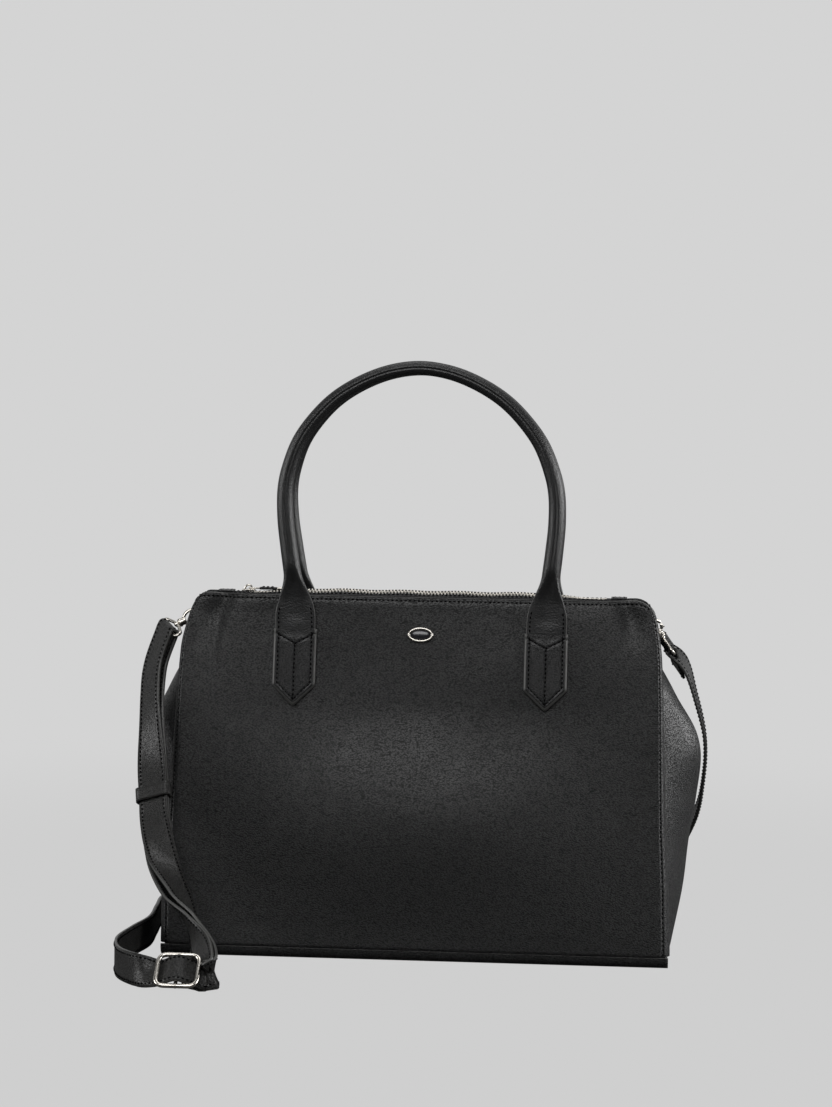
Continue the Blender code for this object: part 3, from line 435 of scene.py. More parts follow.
class SewnBody:
    """The sewn form: where a point of a panel or a gusset lies."""

    def __init__(self):
        own = sizes()
        self.height, self.half_base, self.half_deep = own.body_height, own.base_width / 2, own.base_depth / 2
        self.half_top, self.gusset_reach, self.leather = own.top_depth / 2, own.gusset_reach, own.leather
        self.slump, self.dent = own.slump, own.seam_dent
        lean = math.atan((self.half_deep - self.half_top) / self.height)
        self.down = Vector((0, -math.sin(lean), -math.cos(lean)))
        self.out = Vector((0, -math.cos(lean), math.sin(lean)))
        self.front_top = Vector((0, -self.half_top, self.height))
        self.widths = [row[1] for row in BODY_SHARES]
        self.reaches = [row[2] for row in BODY_SHARES]

    def half_width(self, height):
        """Half the loft's width at a height."""
        return self.half_base * smooth_value(BODY_KNOTS, self.widths, height / self.height)

    def spare(self, height, right):
        """How far a soft seam stands out past the frame's plain loft."""
        low, middle, top = SPARE_RIGHT if right else SPARE_LEFT
        return low + (middle - low) * ease(0, 0.070, height) + (top - middle) * ease(0.215, self.height, height)

    def end(self, height, right):
        """How far out the seam of a side stands."""
        return self.half_width(height) + self.spare(height, right)

    def reach(self, height):
        """How far the gusset bulges past the seams at a height."""
        return self.gusset_reach * smooth_value(BODY_KNOTS, self.reaches, height / self.height)

    def half_depth(self, height):
        """Half the body's depth at a height."""
        return self.half_deep + (self.half_top - self.half_deep) * height / self.height

    def edge_round(self, height):
        """The radius of the rounding from the panel to the seam."""
        return BASE_ROUND + (TOP_ROUND - BASE_ROUND) * height / self.height

    def corner(self, x):
        """How far the top edge has turned down at x, round each top corner."""
        radius = CORNER_RIGHT if x > 0 else CORNER_LEFT
        past = min(max(abs(x) - self.end(self.height, x > 0) + radius, 0) / radius, 1)
        dip = TOP_DIP * ease(-DIP_GONE, -DIP_WHOLE, -abs(x))
        return radius * (1 - math.sqrt(1 - past * past)) + dip

    def pinch(self, x, height):
        """Where the folded gussets draw the panel in at its top corners."""
        end = self.end(height, x > 0)
        deep, far, wide = CORNER_PINCH
        soft = deep * bell(abs(x), end - far, wide) * bell(height, self.height - 0.010, 0.020)
        deep, far, wide = LEFT_PINCH
        return soft + deep * bell(x, far - end, wide) * ease(0.150, 0.235, height)

    def wander(self, x, height, seed):
        """Slow unevenness of a soft panel, from -1 to 1."""
        slow = noise.noise(Vector((x * 9, height * 11, seed)))
        return slow * 1.3 + noise.noise(Vector((x * 24, height * 26, seed))) * 0.35

    def panel(self, u, height, inset, seed, turned):
        """A point of a front panel, u from -1 to 1 across, inset from its outer face; turned has the sides swapped."""
        radius = self.edge_round(height)
        flat = self.end(height, (u > 0) != turned) - radius
        share = min(abs(u) / FLAT_SHARE, 1)
        turn = max(abs(u) - FLAT_SHARE, 0) / (1 - FLAT_SHARE) * math.pi / 2
        inner = radius - inset
        rise = min(height / self.height / BELLY_END, 1)
        belly = BELLY * math.sin(math.pi * rise) ** 2 * math.cos(share * math.pi / 2) ** 2
        x = math.copysign(flat * share + inner * math.sin(turn), u)
        calm = ease(0, 0.10, height / self.height) * ease(0, 0.06, 1 - height / self.height)
        sway = self.slump * self.wander(x, height, seed) * (0.25 + 0.75 * calm) * (1 - 0.7 * ease(0.75, 1, abs(u)))
        y = self.half_depth(height) - radius + inner * math.cos(turn) + belly + sway - self.pinch(x, height)
        return Vector((x, -y, height))

    def gusset(self, u, height, right, proud=0.0, seed=0.0):
        """A point of a gusset on the right, u from the front seam to the back one; right has that side's spare."""
        seam = self.half_depth(height) - self.edge_round(height)
        y = u * seam
        crest = max(1 - abs(u) ** 1.7, 0)
        sunk = self.leather + SEAM_GAP + GUSSET_LEATHER / 2
        sway = self.slump * 1.6 * self.wander(y, height, seed) * crest
        full = self.spare(height, right) * (1 - crest)
        if right:
            full += CREST_SPARE * crest * (1 - ease(0.160, 0.190, height))
        return Vector((self.half_width(height) - sunk + self.reach(height) * crest + full + sway + proud, y, height))

    def face_place(self, across, down):
        """A matrix with its origin on the front's top edge or below it, its z out of the front."""
        axes = Matrix((Vector((1, 0, 0)), -self.down, self.out)).transposed().to_4x4()
        return Matrix.Translation(self.front_top + Vector((across, 0, 0)) + self.down * down) @ axes


def back(point):
    """A point of the front turned half round, to the back."""
    return Vector((-point.x, -point.y, point.z))


def behind(point):
    """A point of the front reflected to the back."""
    return Vector((point.x, -point.y, point.z))


def mirrored(point, side):
    """A point of the right, on the side that is 1 or -1."""
    return Vector((point.x * side, point.y, point.z))


# Makers of meshes

GAP = 0.0003  # between neighbouring pieces
SUNK_THREAD = 0.0003  # how deep stitches lie in a padded face
UP = Vector((0, 0, 1))


def piece(name, bm, finishes, node=None, rides=True, stands=True):
    """A finished object from a bmesh. It can ride on the body of a node, and stands for it or goes with it."""
    mesh = bpy.data.meshes.new(name)
    bm.to_mesh(mesh)
    bm.free()
    made = bpy.data.objects.new(name, mesh)
    bpy.context.scene.collection.objects.link(made)
    for finish in finishes:
        mesh.materials.append(finish_for(finish))
    mesh.shade_smooth()
    mesh.set_sharp_from_angle(angle=math.radians(50))
    if node:
        if rides:
            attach(made, BODIES[node])
        if stands:
            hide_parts(node)
    return made


def metal(name, bm, node):
    """A polished metal piece, all its faces turned outward."""
    bmesh.ops.recalc_face_normals(bm, faces=bm.faces)
    return piece(name, bm, ["nickel"], node)


def laid_grid(columns, rows, place, closed=False):
    """A grid laid out by place(u, v), u and v from 0 to 1; closed joins its first and last column."""
    bm = bmesh.new()
    bmesh.ops.create_grid(bm, x_segments=columns, y_segments=rows, size=0.5)
    runs = bm.loops.layers.uv.new("UVMap")
    for face in bm.faces:
        for loop in face.loops:
            loop[runs].uv = (loop.vert.co.x + 0.5, loop.vert.co.y + 0.5)
    for vertex in bm.verts:
        vertex.co = place(vertex.co.x + 0.5, vertex.co.y + 0.5)
    if closed:
        bmesh.ops.remove_doubles(bm, verts=bm.verts, dist=1e-7)
    return bm


def thick_sheet(name, columns, rows, place, thickness, finish, node, edge="edge", even=True, closed=False):
    """A sheet of leather whose rims take the light edge finish, edge paint with a painted rim highlight: a laid grid
    given its thickness, half to each side.
    """
    bm = laid_grid(columns, rows, place, closed)
    bmesh.ops.recalc_face_normals(bm, faces=bm.faces)
    made = piece(name, bm, [finish, edge], node)
    wall = made.modifiers.new("wall", "SOLIDIFY")
    wall.thickness = thickness
    wall.offset = 0
    wall.use_even_offset = even
    wall.material_offset_rim = 1
    return made


def square_frame(along, across):
    """Unit vectors: the first direction, the part of the second square to it, and the third."""
    along = along.normalized()
    across = (across - along * across.dot(along)).normalized()
    return along, across, along.cross(across)


def spaced(points, pitch):
    """Places at an even pitch along a line of (point, normal), with the direction and normal there."""
    places, carried = [], pitch / 2
    for (start, first), (end, second) in zip(points, points[1:]):
        length = (end - start).length
        if length == 0:
            continue
        at = carried
        while at < length:
            share = at / length
            places.append((start.lerp(end, share), (end - start) / length, first.lerp(second, share).normalized()))
            at += pitch
        carried = at - length
    return places


def repeated(bm, places):
    """Copies of one small shape at many places, in one bmesh."""
    shape = bpy.data.meshes.new("shape")
    bm.to_mesh(shape)
    bm.clear()
    for place in places:
        copy = shape.copy()
        copy.transform(place)
        bm.from_mesh(copy)
        bpy.data.meshes.remove(copy)
    bpy.data.meshes.remove(shape)
    bmesh.ops.recalc_face_normals(bm, faces=bm.faces)
    return bm


def stitch_runs(name, lines, node, lift=0.0, rides=True):
    """Rows of stitches: a short bead of thread at every pitch along each line of (point, normal)."""
    own = sizes()
    bead = bmesh.new()
    bmesh.ops.create_uvsphere(bead, u_segments=6, v_segments=5, radius=1)
    turns = []
    for line in lines:
        for place, along, normal in spaced(line, own.stitch_pitch):
            along, normal, across = square_frame(along, normal)
            turn = Matrix((along * own.stitch_length / 2, across * own.thread / 2,
                           normal * own.thread / 2)).transposed().to_4x4()
            turns.append(Matrix.Translation(place + normal * lift) @ turn)
    return piece(name, repeated(bead, turns), ["thread"], node, rides, stands=False)


def skin(rings):
    """A tube through rings of points, any open ends filled."""
    sides, steps = len(rings[0]), len(rings) - 1
    bm = laid_grid(sides, steps, lambda u, v: rings[round(v * steps)][round(u * sides) % sides], closed=True)
    bmesh.ops.holes_fill(bm, edges=[edge for edge in bm.edges if edge.is_boundary])
    bmesh.ops.recalc_face_normals(bm, faces=bm.faces)
    return bm


def wire(bm, points, radius, sides=14, cyclic=False):
    """A round wire, added to a bmesh. An open one carries its section along, a closed one lies in a plane."""
    count = len(points)
    if cyclic:
        centre = sum(points, Vector()) / count
        normal = (points[0] - centre).cross(points[count // 4] - centre).normalized()
    else:
        normal = (points[1] - points[0]).normalized().orthogonal().normalized()
    rings, turns = [], [math.tau * side / sides for side in range(sides)]
    for index, point in enumerate(points):
        low = points[index - 1] if index or cyclic else point
        high = points[(index + 1) % count] if index < count - 1 or cyclic else point
        along, up, across = square_frame(high - low, normal)
        normal = normal if cyclic else up
        rings.append([point + (up * math.cos(turn) + across * math.sin(turn)) * radius for turn in turns])
    made = skin(rings + rings[:1] if cyclic else rings)
    carrier = bpy.data.meshes.new("carrier")
    made.to_mesh(carrier)
    made.free()
    bm.from_mesh(carrier)
    bpy.data.meshes.remove(carrier)


def rod(bm, start, end, radius, sides=20, bevel=0.0):
    """A round rod between two points, added to a bmesh, its rims rounded."""
    along = end - start
    turn = along.to_track_quat("Z", "Y").to_matrix().to_4x4()
    made = bmesh.ops.create_cone(bm, cap_ends=True, segments=sides, radius1=radius, radius2=radius,
                                 depth=along.length, matrix=Matrix.Translation((start + end) / 2) @ turn)
    if bevel:
        soften(bm, [edge for edge in edges_of(made) if any(len(face.verts) > 4 for face in edge.link_faces)], bevel)


def edges_of(made):
    """The edges of what an operator has just made."""
    return list({edge for vertex in made["verts"] for edge in vertex.link_edges})


def soften(bm, edges, reach, segments=3):
    """Round some edges of a bmesh."""
    bmesh.ops.bevel(bm, geom=edges, offset=reach, offset_type="OFFSET", segments=segments, profile=0.5,
                    affect="EDGES", material=-1)


def cube(bm, low, high):
    """A plain block between two corners, added to a bmesh; gives its edges."""
    low, high = Vector(low), Vector(high)
    place = Matrix.Translation((low + high) / 2) @ Matrix.Diagonal((*(high - low), 1))
    return edges_of(bmesh.ops.create_cube(bm, size=1, matrix=place))


def block(bm, low, high, bevel, segments=3):
    """A rounded block between two corners, added to a bmesh."""
    soften(bm, cube(bm, low, high), bevel, segments)


def bar(bm, start, end, wide, low, high, bevel):
    """A rounded block along x, centred on the bag's middle."""
    block(bm, (start, -wide / 2, low), (end, wide / 2, high), bevel)


def paint_edges_and_highlight(made, painted):
    """Edge paint and a painted rim highlight for the faces of a laid grid that painted(u, v) picks out."""
    places = made.data.uv_layers[0].data
    for face in made.data.polygons:
        if painted(*places[face.loop_start].uv):
            face.material_index = 1


# Operators, one for each piece or group of like pieces

class BAG_OT_panels(bpy.types.Operator):
    """Lay the front and back panels, with their turned side seams and rows of stitches"""
    bl_idname = "bag.panels"
    bl_label = "Panels"

    def execute(self, context):
        body = SewnBody()
        low = BAND_HEIGHT + 0.0004
        tall = body.height - low
        shares = [step / 120 for step in range(121)]
        rows = [[(0.5 + side * SEAM_TURN / 2, share * (1 - TOP_ROW)) for share in shares] for side in (-1, 1)]
        rows.append([(0.5 + SEAM_TURN * (share - 0.5), 1 - TOP_ROW) for share in shares])
        for side, turned in (("front", False), ("back", True)):
            def place(u, v, inset=body.leather / 2):
                across = 2 * u - 1
                edge = body.panel(across, body.height, 0, SEEDS[side], turned).x
                height = low + (tall - body.corner(-edge if turned else edge)) * v
                dent = body.dent * (bell(abs(across), SEAM_TURN, SEAM_DENT) + bell(1 - v, TOP_ROW, TOP_DENT))
                point = body.panel(across, height, inset + dent, SEEDS[side], turned)
                return back(point) if turned else point

            thick_sheet(f"{side}_panel_leather", 240, 130, place, body.leather, "panel", f"{side}_panel", even=False)
            lines = [[self.seat(place, u, v, body) for u, v in row] for row in rows]
            stitch_runs(f"{side}_panel_stitches", lines, f"{side}_panel", lift=0.0003)
        return {"FINISHED"}

    @staticmethod
    def seat(place, u, v, body):
        """A point on the panel's outer face and the way that it faces."""
        here = place(u, v, inset=0.0)
        inner = place(u, v, inset=body.leather)
        return here, (here - inner).normalized()


class BAG_OT_gussets(bpy.types.Operator):
    """Lay the two gussets, which bulge out between the seams and fold in at the top"""
    bl_idname = "bag.gussets"
    bl_label = "Gussets"

    def execute(self, context):
        body = SewnBody()
        low, high = body.leather + GAP, body.height - GUSSET_TOP
        for side, name in ((-1, "left"), (1, "right")):
            def place(u, v):
                turned_down = body.corner(side * body.end(body.height, side > 0)) - GUSSET_CORNER
                height = low + (high - turned_down * abs(2 * u - 1) ** 8 - low) * v
                return mirrored(body.gusset(2 * u - 1, height, side > 0, 0, SEEDS[name]), side)

            thick_sheet(f"{name}_gusset_leather", 90, 130, place, GUSSET_LEATHER, "gusset", f"{name}_gusset")
        return {"FINISHED"}


class BAG_OT_base(bpy.types.Operator):
    """Lay the base panel, turned up in a band along the front and the back"""
    bl_idname = "bag.base"
    bl_label = "Base"

    def execute(self, context):
        body = SewnBody()
        half = body.half_base - 0.0010
        deep = body.half_depth(BAND_HEIGHT) - body.leather / 2
        fillet = 0.0055
        low, flat = body.leather / 2, deep - fillet
        bend, band = 0.75, 0.9375  # shares of the half depth where the turn starts and ends

        def place(u, v):
            along = abs(2 * v - 1)
            turn = min(max(along - bend, 0) / (band - bend), 1) * math.pi / 2
            y = flat * min(along / bend, 1) + fillet * math.sin(turn)
            z = low + fillet * (1 - math.cos(turn))
            z += (BAND_HEIGHT - z) * max(along - band, 0) / (1 - band)
            end = half + (SPARE_RIGHT[0] if u > 0.5 else SPARE_LEFT[0])
            return Vector((end * (2 * u - 1), math.copysign(y, 2 * v - 1), z))

        thick_sheet("base_panel_leather", 120, 96, place, body.leather, "panel", "base_panel")
        return {"FINISHED"}


HANDLE_RISE, HANDLE_SPAN, HANDLE_LEAN, HANDLE_SWAY = 0.1905, 0.196, 0.0125, 0.0040
TOP_RADIUS, LEG_RADIUS = 0.0052, 0.0065
TAB_SPACING, TAB_WIDTH, TAB_THICKNESS, TAB_DROP, CREASE_DROP = 0.181, 0.029, 0.0030, 0.0805, 0.027
ARCH_SHARES = ((TAB_SPACING / HANDLE_SPAN, 0.0), (0.930, 0.10), (0.947, 0.20), (0.975, 0.31), (0.998, 0.42),
               (0.998, 0.53), (0.962, 0.62), (0.885, 0.72), (0.760, 0.81), (0.610, 0.885), (0.420, 0.945),
               (0.215, 0.985), (0.0, 1.0))
# Distances from the crease over which the foot turns into the tube: its width, its thickness,
# the hollow between its two rolls (opening, then closing) and the closing seam
NARROWING, THICKENING, HOLLOW_OPENS, HOLLOW_CLOSES, SEAM_STARTS = (
    (0.010, 0.042), (0.021, 0.050), (0.003, 0.012), (0.030, 0.047), (0.040, 0.058))
HOLLOW_DEPTH, FOOT_STITCHES = 0.62, 0.0165
STITCH_INSET = 0.0025
VALLEY_SLOPE = 0.54
# How far up each foot its edges take edge paint and a painted rim highlight, and how much of its section that takes
PAINT_AND_HIGHLIGHT_FOOT, PAINT_AND_HIGHLIGHT_SHARE = 0.018, 0.42


class HandlePath:
    """The middle line of a handle, from one tab's tip over the arch to the other's."""

    def __init__(self, body):
        self.foot = body.front_top + body.down * (CREASE_DROP - GAP * 2) + body.out * (GAP + TAB_THICKNESS / 2)
        self.up = Vector((0, HANDLE_LEAN, HANDLE_RISE)).normalized()
        self.out = Vector((0, -self.up.z, self.up.y))
        shares = [*ARCH_SHARES, *[(-x, z) for x, z in reversed(ARCH_SHARES[:-1])]]
        knots = list(range(len(shares)))
        xs, zs = [x for x, z in shares], [z for x, z in shares]
        fine = 1200
        places = [knots[-1] * step / fine for step in range(fine + 1)]
        self.points = [(-HANDLE_SPAN / 2 * smooth_value(knots, xs, at), HANDLE_RISE * smooth_value(knots, zs, at))
                       for at in places]
        self.runs = [0]
        for low, high in zip(self.points, self.points[1:]):
            self.runs.append(self.runs[-1] + math.dist(low, high))
        self.length = self.runs[-1]

    def at(self, distance):
        """The middle, tangent, outward direction and rise at a distance from the left crease."""
        span, share = span_at(self.runs, distance)
        (x0, z0), (x1, z1) = self.points[span:span + 2]
        x, rise = x0 + (x1 - x0) * share, z0 + (z1 - z0) * share
        tangent = (Vector((x1 - x0, 0, 0)) + self.up * (z1 - z0)).normalized()
        return self.foot + Vector((x, 0, 0)) + self.up * rise, tangent, self.out, rise

    def swayed(self, point):
        """The arch leans a little to one side, more towards its top."""
        return point - Vector((HANDLE_SWAY * ease(0, HANDLE_RISE, point.z - self.foot.z), 0, 0))


class BAG_OT_handles(bpy.types.Operator):
    """Roll the two handles and sew their tabs on"""
    bl_idname = "bag.handles"
    bl_label = "Handles"

    def execute(self, context):
        body = SewnBody()
        path = HandlePath(body)
        steps = 300
        rings = [self.section(path, path.length * step / steps) for step in range(steps + 1)]
        for side in ("front", "back"):
            turned = rings if side == "front" else [[behind(point) for point in ring] for ring in rings]
            node = f"{side}_handle"
            handle = piece(f"{side}_handle_leather", skin(turned), ["handle", "edge"], node, rides=False)
            # The sides of each flat foot take the light edge finish: edge paint and a painted rim highlight
            paint_edges_and_highlight(handle, lambda u, v: min(v, 1 - v) * path.length < PAINT_AND_HIGHLIGHT_FOOT
                        and abs(math.sin(math.tau * u)) < PAINT_AND_HIGHLIGHT_SHARE)
            self.bend(handle, side, path)
            self.bend(stitch_runs(f"{side}_handle_stitches", self.flare_rows(path, side), node, rides=False),
                      side, path)
            for label in ("left", "right"):
                self.tab(body, side, label)
        return {"FINISHED"}

    @staticmethod
    def bend(made, side, path):
        """Bake the piece's place into its mesh; the ends of the crease are worked out, but nothing bends."""
        low, high = path.foot - path.up * 0.002, path.foot + path.up * 0.010
        if side == "back":
            low, high = behind(low), behind(high)
        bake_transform(made)
        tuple(low)
        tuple(high)

    @staticmethod
    def section(path, distance, sides=64):
        """One ring: flat and wide at the crease, round above it, with the closing seam along its outside."""
        centre, tangent, out, rise = path.at(distance)
        across = out.cross(tangent)
        near = min(distance, path.length - distance)
        radius = LEG_RADIUS + (TOP_RADIUS - LEG_RADIUS) * ease(0, HANDLE_RISE, rise)
        narrow = ease(*NARROWING, near)
        thick = ease(*THICKENING, near)
        half_across = TAB_WIDTH / 2 + (radius - TAB_WIDTH / 2) * narrow
        half_out = TAB_THICKNESS / 2 + (radius - TAB_THICKNESS / 2) * thick
        power = 1 - 0.6 * (1 - thick)
        hollow = HOLLOW_DEPTH * ease(*HOLLOW_OPENS, near) * (1 - ease(*HOLLOW_CLOSES, near))
        seam = ease(*SEAM_STARTS, near)
        ring = []
        for side in range(sides):
            turn = math.tau * side / sides
            wide = math.copysign(abs(math.cos(turn)) ** power, math.cos(turn))
            tall = math.copysign(abs(math.sin(turn)) ** power, math.sin(turn))
            lobes = 1 - hollow * bell(wide, 0, 0.42)
            groove = seam * (0.05 * bell(turn, 1.36, 0.20) - 0.15 * bell(turn, 1.62, 0.09))
            ring.append(centre + (across * (half_across * wide) + out * (half_out * tall * lobes)) * (1 + groove))
        return [path.swayed(point) for point in ring]

    @staticmethod
    def flare_rows(path, side):
        """The border stitches go on up the flat foot of each handle."""
        lines = []
        for start in (0.0008, path.length - 0.0008):
            for edge in (-1, 1):
                line = []
                for step in range(13):
                    distance = start + math.copysign(FOOT_STITCHES * step / 12, path.length / 2 - start)
                    centre, tangent, out, rise = path.at(distance)
                    narrow = ease(*NARROWING, min(distance, path.length - distance))
                    reach = TAB_WIDTH / 2 + (LEG_RADIUS - TAB_WIDTH / 2) * narrow - STITCH_INSET
                    point = centre + out.cross(tangent) * (reach * edge) + out * (TAB_THICKNESS / 2 - 0.0001)
                    point = path.swayed(point)
                    line.append((point, out) if side == "front" else (behind(point), behind(out)))
                lines.append(line)
        return lines

    @staticmethod
    def tab(body, side, label):
        """A padded pentagon with edge paint and a painted rim highlight round its border, and its stitches."""
        sign = -1 if label == "left" else 1
        across = sign * TAB_SPACING / 2 * (1 if side == "front" else -1)
        half, point = TAB_WIDTH / 2, TAB_DROP
        turn = Matrix.Identity(4) if side == "front" else Matrix.Rotation(math.pi, 4, "Z")
        seat = turn @ body.face_place(across, 0)
        top, valley, inset = -CREASE_DROP + 0.0014, -CREASE_DROP - 0.0095, STITCH_INSET

        def depth(x, y):
            """How far the stitches and the rounded border draw the face in."""
            near = min(half - abs(x), (y + point - abs(x)) * 0.7)
            rows = bell(near, inset, 0.0006)
            if y < -CREASE_DROP:
                slope = abs(y - valley - abs(x) * VALLEY_SLOPE) * 0.88
                rows = max(rows, bell(slope, 0, 0.0006), bell(x, 0, 0.0006) if y < valley else 0)
            puff = bell(abs(x), half * 0.45, half * 0.35) * ease(0.002, 0.008, -CREASE_DROP - y)
            return 0.00055 * rows + 0.0009 * (1 - min(near / 0.0010, 1)) ** 2 - 0.0004 * puff

        def place(u, v):
            x = half * (2 * u - 1)
            y = top + (abs(x) - point - top) * v
            return seat @ Vector((x, y, GAP + TAB_THICKNESS / 2 - depth(x, y)))

        node = f"{side}_tab_{label}"
        made = thick_sheet(f"{node}_leather", 60, 90, place, TAB_THICKNESS, "tab", node, even=False)
        # The tab's border faces take the light edge finish: edge paint and a painted rim highlight
        paint_edges_and_highlight(made, lambda u, v: u < 0.02 or u > 0.965 or v > 0.975)
        edge, first = half - inset, -CREASE_DROP - 0.001
        tip, lower, upper = -point + inset * 1.41, half - point + inset * 0.41, valley + edge * VALLEY_SLOPE
        rows = [[(-edge, first), (-edge, lower), (0, tip), (edge, lower), (edge, first)],
                [(-edge, upper), (0, valley), (edge, upper)],
                [(0, valley), (0, tip)]]
        normal = (seat.to_3x3() @ UP).normalized()
        level = GAP + TAB_THICKNESS - SUNK_THREAD
        lines = [[(seat @ Vector((x, y, level)), normal) for x, y in row] for row in rows]
        stitch_runs(f"{node}_stitches", lines, node)


# Side fittings, as the frame has them
RING_HEIGHT, RING_HALF, RING_DEPTH, RING_WIRE = 0.244, 0.0080, 0.0105, 0.0012
CHAPE_WIDTH, CHAPE_THICKNESS, CHAPE_LENGTH = 0.0110, 0.0024, 0.024
HOOK_LENGTH, HOOK_HALF, HOOK_WIRE, RING_SEAT = 0.0135, 0.0050, 0.0012, 0.0036
COLLAR_RADIUS, COLLAR_LENGTH, SWIVEL_PIN = 0.0032, 0.0045, 0.0011
EYE_DEPTH, EYE_HALF, EYE_WIRE, GATE_RADIUS = 0.0072, 0.0142, 0.0012, 0.0011
EYE_SHARES = ((0.25, 0), (0.92, 0.36), (1.0, 0.56), (1.0, 1.0))
RING_DIRECTION = Vector((0.80, 0, -0.60)).normalized()
HOOK_DIRECTIONS = {"left": Vector((-0.83, -0.354, -0.43)), "right": Vector((0.45, 0.62, -0.64))}
BAR_DIRECTIONS = {"left": Vector((0.50, -0.80, -0.30)), "right": Vector((0.20, -0.95, -0.22))}
HOOK_OPEN, HOOK_LATCH, GATE_GAP = math.radians(42), math.radians(100), math.radians(19)


def round_corners(points, share=0.35, steps=5):
    """A closed line of points with each corner turned through a short arc."""
    made = []
    for index, point in enumerate(points):
        low, high = points[index - 1], points[(index + 1) % len(points)]
        reach = min((low - point).length, (high - point).length) * share
        start = point + (low - point).normalized() * reach
        end = point + (high - point).normalized() * reach
        for step in range(steps + 1):
            t = step / steps
            made.append(start * (1 - t) ** 2 + point * (2 * t * (1 - t)) + end * t ** 2)
    return made


def cut_up(outline, parts):
    """A closed outline with each side cut into equal parts, as many as parts says for its length."""
    made = []
    for low, high in zip(outline, outline[1:] + outline[:1]):
        count = parts((high - low).length)
        made += [low.lerp(high, step / count) for step in range(count)]
    return made


class SideFitting:
    """Where the ring, hook and eye of one side lie."""

    def __init__(self, label):
        self.label, self.side = label, -1 if label == "left" else 1
        ring_low, ring_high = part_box(f"{label}_ring")
        x = (ring_low.x + RING_WIRE) if self.side > 0 else (ring_high.x - RING_WIRE)
        self.bar = Vector((x, 0, RING_HEIGHT))
        self.down = mirrored(RING_DIRECTION, self.side)
        self.along, _, self.across = square_frame(HOOK_DIRECTIONS[label], Vector((0, 1, 0)))
        self.base = self.bar + self.down * RING_DEPTH + self.along * (HOOK_LENGTH - HOOK_WIRE - RING_SEAT)
        self.centre = self.base - self.along * HOOK_LENGTH / 2
        self.top = self.base + self.along * (COLLAR_LENGTH + GAP + EYE_WIRE)
        self.bar_along = square_frame(self.along, BAR_DIRECTIONS[label])[1]
        self.eye = self.top + self.along * EYE_DEPTH

    def claw(self, turn):
        """A point of the hook's oval, a turn away from its top."""
        return (self.centre + self.along * (math.cos(turn) * HOOK_LENGTH / 2)
                + self.across * (math.sin(turn) * HOOK_HALF))

    def eye_line(self):
        """The closed line of the swivel's eye."""
        outline = [(-x, y) for x, y in EYE_SHARES] + [(x, y) for x, y in reversed(EYE_SHARES)]
        return round_corners([self.top + self.bar_along * (x * EYE_HALF) + self.along * (EYE_DEPTH * y)
                              for x, y in outline])

    def ring_line(self):
        """The closed line of the side ring: a straight bar and a squarish bow."""
        points = [self.bar + Vector((0, -RING_HALF * share, 0)) for share in (0.5, 0, -0.5)]
        for step in range(41):
            turn = math.pi * step / 40
            wide = math.copysign(abs(math.cos(turn)) ** (2 / 3), math.cos(turn))
            tall = max(math.sin(turn), 0) ** (2 / 3)
            points.append(self.bar + Vector((0, RING_HALF * wide, 0)) + self.down * (RING_DEPTH * tall))
        return points


